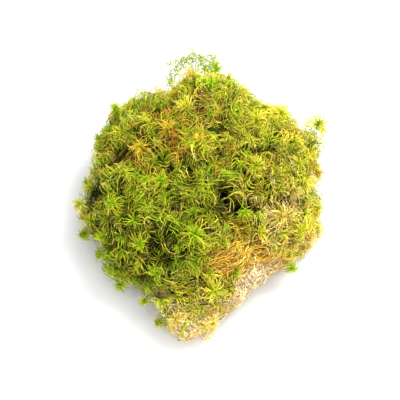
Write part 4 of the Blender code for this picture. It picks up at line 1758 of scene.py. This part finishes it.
    def _on_plane(self, flat: Array, rng: Rng) -> Array:
        """Takes points on the plane into space, a little before or behind it.

        Args:
            flat: Places on the plane, in millimetres.
            rng: The source of how far each lies off the plane.

        Returns:
            The places in space.
        """
        places = np.array(self.origin) + flat[..., :1] * MM * np.array((1.0, 0.0, 0.0))
        places = places + flat[..., 1:2] * MM * np.array(self.upward)
        off = rng.uniform(-self.depth, self.depth, flat.shape[:-1])[..., None]
        return places + off * np.array(self.towards)

    def _stem(self, node: str) -> Array:
        """Returns four points along an arching shoot, from its root to its head.

        Args:
            node: The shoot's node.

        Returns:
            The four points.
        """
        places = vertex_places(frame["nodes"][node].data.vertices)
        far = np.linalg.norm(places - self.mound.centre, axis=1)
        low, high = far.min(), far.max()
        stops = [
            places[np.argsort(np.abs(far - low - share * (high - low)))[:6]].mean(0)
            for share in (0.0, 1.0 / 3.0, 2.0 / 3.0, 1.0)
        ]
        root, lower, upper, tip = stops
        second = (-5.0 * root + 18.0 * lower - 9.0 * upper + 2.0 * tip) / 6.0
        third = (2.0 * root - 9.0 * lower + 18.0 * upper - 5.0 * tip) / 6.0
        return np.array([root, second, third, tip])

    def build(self, rng: Rng) -> Iterator[Piece]:
        """Builds each arching shoot, and the strands between them as one more piece.

        Args:
            rng: The source of the differences between branches.

        Returns:
            The pieces, one after another.
        """
        for node, reach in zip(self.nodes, self.reaches):
            stem = self.mound.centre + (self._stem(node) - self.mound.centre) * reach
            stems = Thatch(self.strand)
            differing = rng.normal(0.0, self.stems_apart, (self.stems, 4, 3))
            around = stem + np.array((0.0, 0.5, 1.0, 1.0))[:, None] * differing
            stems.add(around, rng.uniform(0.9, 1.2, self.stems), 0.4, ripeness=0.5)
            yield self.joiner.join(f"{node}_plant", (stems,), Tint.WISP, (node,))
        upward = unit(np.array(self.upward) + np.array(self.bud_lean))
        bud = Plant(np.array(self.bud_place), upward, self.bud_spread, Tint.GREEN)
        crown = Thatch(MatHeads.full)
        self.bud.fill(crown, bud, 0.66, 0.0, rng)
        yield self.joiner.join("spray_bud", (crown,), Tint.GREEN)
        flat = np.array(self.strands).reshape(-1, 4, 2)
        strands = Thatch(self.strand)
        strands.add(
            self._on_plane(flat, rng), rng.uniform(0.9, 1.3, len(flat)),
            rng.uniform(0.15, 0.55, len(flat)), ripeness=rng.uniform(0.2, 0.8, len(flat)),
        )
        hosts = flat[rng.integers(len(flat), size=self.extra), rng.integers(4, size=self.extra)]
        length = rng.uniform(*self.extra_length, self.extra)[:, None] / MM
        heading = rng.normal(size=(self.extra, 2))
        heading = heading / np.linalg.norm(heading, axis=1, keepdims=True)
        aside = np.stack([-heading[:, 1], heading[:, 0]], 1) * rng.choice((-1, 1), (self.extra, 1))
        wisps = np.stack([
            hosts, hosts + heading * 0.45 * length, hosts + (0.8 * heading + 0.5 * aside) * length,
            hosts + (0.45 * heading + 0.75 * aside) * length,
        ], 1)
        curls = Thatch(self.curl)
        curls.add(
            self._on_plane(wisps, rng), rng.uniform(0.7, 1.1, self.extra),
            rng.uniform(0.20, 0.60, self.extra), ripeness=rng.uniform(0.2, 0.7, self.extra),
        )
        yield self.joiner.join("spray_strands", (strands, curls), Tint.WISP)


@dataclass(frozen=True)
class Matting:
    """Fine curly strands that lie on a stretch of the mound, given in degrees."""

    name: str
    tint: Tint
    count: int
    azimuth: Span
    climb: Span
    length: Span = mm(4.0, 9.0)
    depth: Span = mm(-1.0, 0.9)
    width: Span = (0.7, 1.2)
    curl: float = 0.55
    comb: float = 0.5
    tone: float = 0.55


MATTINGS = (
    Matting("lobe_curls", Tint.PALE, 330, (243.0, 284.0), (-9.0, 7.0), tone=0.5),
    Matting(
        "lobe_dead_curls", Tint.STRAW, 380, (243.0, 290.0), (-9.0, 8.0), width=(0.6, 1.0),
        tone=0.40,
    ),
    Matting("lobe_left_curls", Tint.GREEN, 110, (240.0, 257.0), (-9.0, 3.0), tone=0.7),
    Matting(
        "frayed_ends", Tint.OCHRE, 210, (304.0, 324.0), (-2.0, 13.0), curl=0.35, comb=1.2,
        tone=0.42,
    ),
    Matting(
        "straw_strands", Tint.STRAW, 260, (286.0, 312.0), (-8.0, 12.0), curl=0.3, width=(0.5, 0.9),
        length=mm(3.0, 7.0), tone=0.45,
    ),
    Matting(
        "strands_over_the_hole", Tint.YELLOW, 15, (288.0, 318.0), (44.0, 60.0),
        length=mm(6.0, 11.0), depth=mm(-9.5, -5.0), curl=0.3, tone=0.5,
    ),
)


@dataclass
class Strays(Growth):
    """Single strands round the clump's back and right, so loose that one sees between them."""

    strand: BranchShape = BranchShape(
        leaves=12, rings=5, stalk_radius=0.20 * MM, leaf_length=0.10, leaf_width=0.36 * MM,
        leaf_spread=0.34 * MM, taper=0.4,
    )
    # Four points for each, in millimetres
    dry: tuple[tuple[float, ...], ...] = (
        (17.5, 45.5, 33, 20.5, 47.2, 34.5, 23, 48, 34, 27, 48.8, 34.5),
        (18.6, 43.5, 33, 18.9, 45.5, 34, 18.6, 47.5, 34.6, 18.8, 49, 35),
    )
    green: tuple[tuple[float, ...], ...] = (
        (-15, 39, 36, -16.5, 42.5, 38.5, -20.5, 44, 38.5, -23.6, 41, 36.5),
        (-12.5, 41, 36, -13.5, 44.5, 38.5, -16.5, 46, 37.5, -18.6, 45.4, 36.5),
        (-29, 37, 33, -29.5, 40, 34.5, -31.5, 41.5, 34, -33, 41, 33),
    )
    fringe: int = 170
    fringe_azimuth: Span = (58.0, 148.0)  # degrees, as the next
    fringe_climb: Span = (14.0, 38.0)
    fringe_length: Span = mm(5.0, 10.0)
    net: int = 46
    net_ends: tuple[Triple, ...] = ((47.0, 24.0, 23.0), (57.0, 25.5, 24.5))
    net_width: float = 2.6 * MM
    net_length: Span = mm(4.0, 8.0)
    thin: BranchShape = BranchShape(leaves=4, rings=5, stalk_radius=0.16 * MM)

    def _fringe(self, rng: Rng) -> Array:
        """Lays out strands that stand away from the back, and curl over.

        Args:
            rng: The source of their differences.

        Returns:
            Four points for each.
        """
        points, normals = self.mound.within(
            self.fringe_azimuth, self.fringe_climb, self.fringe, rng
        )
        first = unit(normals + 0.2 * UP + 0.40 * rng.normal(size=points.shape))
        last = unit(first + 0.9 * rng.normal(size=points.shape) - 0.2 * UP)
        length = rng.uniform(*self.fringe_length, self.fringe)[:, None]
        root = points - normals * 2.0 * MM
        end = root + unit(first + 0.8 * last) * length
        return np.stack([root, root + first * 0.45 * length, end - last * 0.4 * length, end], 1)

    def _net(self, rng: Rng) -> Array:
        """Lays out the loose strands between the mat and the head at its far right.

        Args:
            rng: The source of their differences.

        Returns:
            Four points for each.
        """
        start, stop = np.array(self.net_ends) * MM
        share = rng.uniform(0.0, 1.0, (self.net, 1))
        middle = start + share * (stop - start) + self.net_width * rng.normal(size=(self.net, 3))
        way = unit(0.5 * unit(stop - start) + rng.normal(size=(self.net, 3)))
        normal = unit(np.cross(way, rng.normal(size=(self.net, 3))))
        return arcs(
            middle, way, normal, rng.uniform(*self.net_length, self.net),
            *(rng.normal(0.0, spread, self.net) for spread in (0.35, 0.25, 0.15)),
        )

    def _curls(self, patch: Matting, rng: Rng) -> Array:
        """Lays out curly strands that lie on a stretch of the mound.

        Args:
            patch: The stretch, with the sizes of its strands.
            rng: The source of their differences.

        Returns:
            Four points for each.
        """
        points, normals = self.mound.within(patch.azimuth, patch.climb, patch.count, rng)
        way = rng.normal(size=points.shape) + patch.comb * flow(points, normals)
        bends = ((0.0, patch.curl), (0.10, 0.3 * patch.curl), (0.0, 0.6 * patch.curl))
        lay = Lay(patch.length, patch.depth, bends, (0.05, 0.2))
        return lay.curves(points, normals, way, rng)

    def build(self, rng: Rng) -> Iterator[Piece]:
        """Builds the dry strands, the arches, the fringe of the back, the net and the curls.

        Args:
            rng: The source of the differences between branches.

        Returns:
            The pieces, one after another.
        """
        for patch in MATTINGS:
            thatch = Thatch(self.thin)
            thatch.add(
                self._curls(patch, rng), rng.uniform(*patch.width, patch.count),
                rng.normal(patch.tone, 0.26, patch.count),
                np.where(rng.uniform(size=patch.count) < 0.08, 0.8, 0.0),
                ripeness=rng.uniform(0.2, 1.1, patch.count),
            )
            yield self.joiner.join(patch.name, (thatch,), patch.tint)
        for name, curves, tint, scorch in (
            ("dry_strays", np.array(self.dry).reshape(-1, 4, 3) * MM, Tint.AMBER, 0.8),
            ("green_strays", np.array(self.green).reshape(-1, 4, 3) * MM, Tint.GREEN, 0.0),
            ("back_fringe", self._fringe(rng), Tint.WISP, 0.0),
            ("right_net", self._net(rng), Tint.YELLOW, 0.1),
        ):
            thatch, count = Thatch(self.strand), len(curves)
            thatch.add(
                curves, rng.uniform(0.8, 1.1, count), rng.uniform(0.5, 0.9, count), scorch,
                ripeness=rng.uniform(0.3, 1.0, count),
            )
            yield self.joiner.join(name, (thatch,), tint)


@dataclass
class Twig:
    """The short dark twig caught in the straw at the front."""

    node: str = "twig"
    # The moss that it lies on stands this much over the mat's solid
    lift: Triple = mm(0.0, -1.0, 1.73)
    radius: float = 0.30 * MM
    knots: int = 5
    sides: int = 8

    def build(self, rng: Rng) -> Piece:
        """Builds the twig along the solid that it stands for.

        Args:
            rng: The source of its knots.

        Returns:
            The finished piece.
        """
        places = vertex_places(frame["nodes"][self.node].data.vertices)
        first, last = places[places[:, 0].argmin()], places[places[:, 0].argmax()]
        length = float(np.linalg.norm(last - first))
        bm = bmesh.new()
        bmesh.ops.create_cone(
            bm, cap_ends=True, segments=self.sides, radius1=self.radius,
            radius2=0.75 * self.radius, depth=length,
        )
        for knot in range(1, self.knots):
            height = length * (knot / self.knots - 0.5)
            slice_level(bm, height)
            ring = [vert for vert in bm.verts if abs(vert.co.z - height) < 0.01 * MM]
            bmesh.ops.translate(
                bm, verts=ring, vec=Vector((*rng.normal(0.0, 0.10 * MM, 2), 0.0))
            )
            bmesh.ops.scale(bm, verts=ring, vec=Vector((1.0, 1.0, 1.0)) * rng.uniform(0.9, 1.25))
        turn = Vector(last - first).to_track_quat("Z", "Y").to_matrix().to_4x4()
        place = Vector(0.5 * (first + last) + np.array(self.lift))
        bmesh.ops.transform(bm, matrix=Matrix.Translation(place) @ turn, verts=bm.verts)
        bmesh.ops.recalc_face_normals(bm, faces=bm.faces)
        piece = make_object("bark_twig", bm, TwigFinish().material())
        return place_piece(piece, "dark_twig", (self.node,))


@dataclass
class Bed:
    """The bed of packed dead moss that the live branches grow out of, bare at the straw side."""

    mound: Mound
    depth: float = 3.8 * MM  # under the mound where plants cover it
    loose_depth: float = 9.0 * MM  # at the back, where the plants stand loose and let light through
    rim_depth: float = 2.5 * MM  # how much deeper it lies at the foot
    bare_depth: float = 0.7 * MM
    dead_depth: float = 1.4 * MM
    lump: float = 0.20 * MM
    wrinkle_size: float = 1.9 * MM
    wrinkle: float = 0.55 * MM
    foot: float = 0.4 * MM
    back: Span = (92.0, 42.0)  # where the plants stand loose: azimuth and half width in degrees
    subdivisions: int = 6

    def _facts(self, ways: Array) -> tuple[Array, ...]:
        """Works out the bed's places, how bare and how dead it is, and how much painted shadow it
        has in a gap.

        Args:
            ways: The directions from the mound's centre.

        Returns:
            The places, and the values of BED_FACTS.
        """
        azimuth = np.arctan2(ways[:, 1], ways[:, 0])
        climb = np.arcsin(np.clip(ways[:, 2], -1.0, 1.0))
        reach = self.mound.read(self.mound.reach, azimuth, climb)
        places = self.mound.centre + ways * reach[:, None]
        bare = np.clip((foot_line(azimuth) - places[:, 2]) / (3.0 * MM) + 0.6, 0.0, 1.0)
        dead = np.clip(1.6 * DEAD_PATCH.nearness(places) - 0.3, 0.0, 1.0) * (1.0 - bare)
        # Painted shadow: the bed is coloured nearly black in the gaps
        gap = np.clip(3.6 * nearest(GAPS, places) - 0.1, 0.0, 1.0) * (climb > 0.0)
        off_back = (np.degrees(azimuth) - self.back[0]) / self.back[1]
        back = np.exp(-off_back**2) * (climb < math.radians(50.0))
        depth = self.depth + (self.loose_depth - self.depth) * back
        depth = depth + self.rim_depth * np.clip(1.0 - climb / math.radians(12.0), 0.0, 1.0)
        depth = depth + (self.bare_depth - depth) * bare
        depth = depth + (self.dead_depth - depth) * dead
        uneven = np.array([noise.noise(Vector(place) / self.wrinkle_size) for place in places])
        return places + ways * (self.wrinkle * uneven - depth)[:, None], bare, dead, gap

    def build(self, rng: Rng) -> Piece:
        """Builds the bed from a sphere that is shaped to the mound and cut flat below.

        Args:
            rng: The source of its lumps.

        Returns:
            The finished piece.
        """
        bm = bmesh.new()
        bmesh.ops.create_icosphere(bm, subdivisions=self.subdivisions, radius=1.0)
        layers = [bm.verts.layers.float.new(name) for name in BED_FACTS]
        ways = vertex_places(bm.verts)
        _, bare, dead, _ = self._facts(ways)
        shown = np.maximum(bare, dead) > 0.3
        bm.verts.index_update()
        fine = [edge for edge in bm.edges if all(shown[vert.index] for vert in edge.verts)]
        bmesh.ops.subdivide_edges(bm, edges=fine, cuts=1, use_grid_fill=True)
        ways = unit(vertex_places(bm.verts))
        places, *facts = self._facts(ways)
        places = places + ways * rng.normal(0.0, self.lump, (len(ways), 1))
        for vert, place, values in zip(bm.verts, places, zip(*facts)):
            vert.co = place
            for layer, value in zip(layers, values):
                vert[layer] = value
        bmesh.ops.smooth_vert(
            bm, verts=bm.verts, factor=0.5, use_axis_x=True, use_axis_y=True, use_axis_z=True
        )
        cut = slice_level(bm, self.foot, up=-1.0, clear=True)
        rim = [item for item in cut["geom_cut"] if isinstance(item, bmesh.types.BMEdge)]
        bmesh.ops.contextual_create(bm, geom=rim)
        bmesh.ops.recalc_face_normals(bm, faces=bm.faces)
        bmesh.ops.triangulate(bm, faces=bm.faces)
        piece = make_object("mat_bed", bm, BedFinish().material())
        return place_piece(piece, Tint.STRAW.slot, ("moss_mat",))


@dataclass
class Studio:
    """The white paper, the soft light and the camera."""

    elevation: float = math.radians(60.0)
    distance: float = 0.435
    lens: float = 85.0
    aim: Vector = field(default_factory=lambda: Vector((-0.0013, -0.0093, 0.0195)))
    sensor: float = 36.0
    paper_side: float = 4.0
    sky: str = "#FBFCFF"
    sky_strength: float = 1.35
    # Each lamp's name, size, power and place: a soft one at the back right, a weak one in front
    lamps: tuple[tuple[str, float, float, Triple], ...] = (
        ("window", 0.7, 15.0, (0.55, 0.45, 0.95)), ("reflector", 0.6, 4.0, (0.50, -0.70, 0.45)),
    )

    def build(self) -> None:
        """Builds the floor, lights and camera."""
        self._floor()
        self._lights()
        self._camera()

    def _floor(self) -> None:
        """Lays a sheet of white paper under the clump."""
        bm = bmesh.new()
        bmesh.ops.create_grid(bm, x_segments=1, y_segments=1, size=0.5 * self.paper_side)
        floor = make_object("paper", bm, PaperFinish().material(), smooth=False)
        floor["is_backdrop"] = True

    def _lights(self) -> None:
        """Adds an even white sky and the lamps."""
        world = bpy.data.worlds.new("studio")
        world.use_nodes = True
        background = world.node_tree.nodes["Background"]
        background.inputs["Color"].default_value = linear(self.sky)
        background.inputs["Strength"].default_value = self.sky_strength
        scene = bpy.context.scene
        scene.world = world
        for name, size, energy, place in self.lamps:
            lamp = bpy.data.lights.new(name, "AREA")
            lamp.shape = "DISK"
            lamp.size = size
            lamp.energy = energy
            light = add_object(name, lamp)
            light.location = place
            light.rotation_euler = (-Vector(place)).to_track_quat("-Z", "Y").to_euler()
        scene.view_settings.view_transform = "Standard"
        scene.view_settings.look = "None"

    def _camera(self) -> None:
        """Sets the camera at the photograph's angle."""
        camera = bpy.data.cameras.new("camera")
        camera.lens = self.lens
        camera.sensor_width = self.sensor
        camera.clip_start = 0.01
        camera.dof.use_dof = False
        back = Vector((0.0, -math.cos(self.elevation), math.sin(self.elevation)))
        obj = add_object("camera", camera)
        obj.location = self.aim + back * self.distance
        obj.rotation_euler = (-back).to_track_quat("-Z", "Y").to_euler()
        bpy.context.scene.camera = obj


def named_plants() -> list[Plant]:
    """Reads the shoots that stand clear from the frame.

    Returns:
        One plant for each shoot node.
    """
    tints = {tint.slot: tint for tint in TINTS_OF_HEADS}
    return [
        Plant.from_node(part["node"], tints[part["material_slot"]])
        for part in frame["record"]["subparts"] if part["node"].startswith("shoot_")
    ]


def save_sizes() -> None:
    """Gathers the CAD box and the visual model's box, which are not kept."""
    boxes = {
        name: [list(corner) for corner in box]
        for name, box in (("cad", CAD_BOX), ("visual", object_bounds()))
    }


def main() -> None:
    """Builds the dressed clump and its studio."""
    logging.basicConfig(level=logging.INFO, format="%(message)s")
    rng = np.random.default_rng(SEED)
    noise.seed_set(NOISE_SEED)  # or else each run would draw other ways for the branches
    plants = named_plants()
    mound = Mound(plants)
    joiner = Joiner(mound, rng)
    Studio().build()
    Bed(mound).build(rng)
    Twig().build(rng)
    for growth in (
        StandingShoots(joiner, plants), MatHeads(joiner, plants), Tangle(joiner), Spray(joiner),
        Strays(joiner), StrawSide(joiner), DeadPatch(joiner),
    ):
        for piece in growth.build(rng):
            log.info("%s is in place", piece.name)
    save_sizes()


if __name__ == "__main__":
    main()
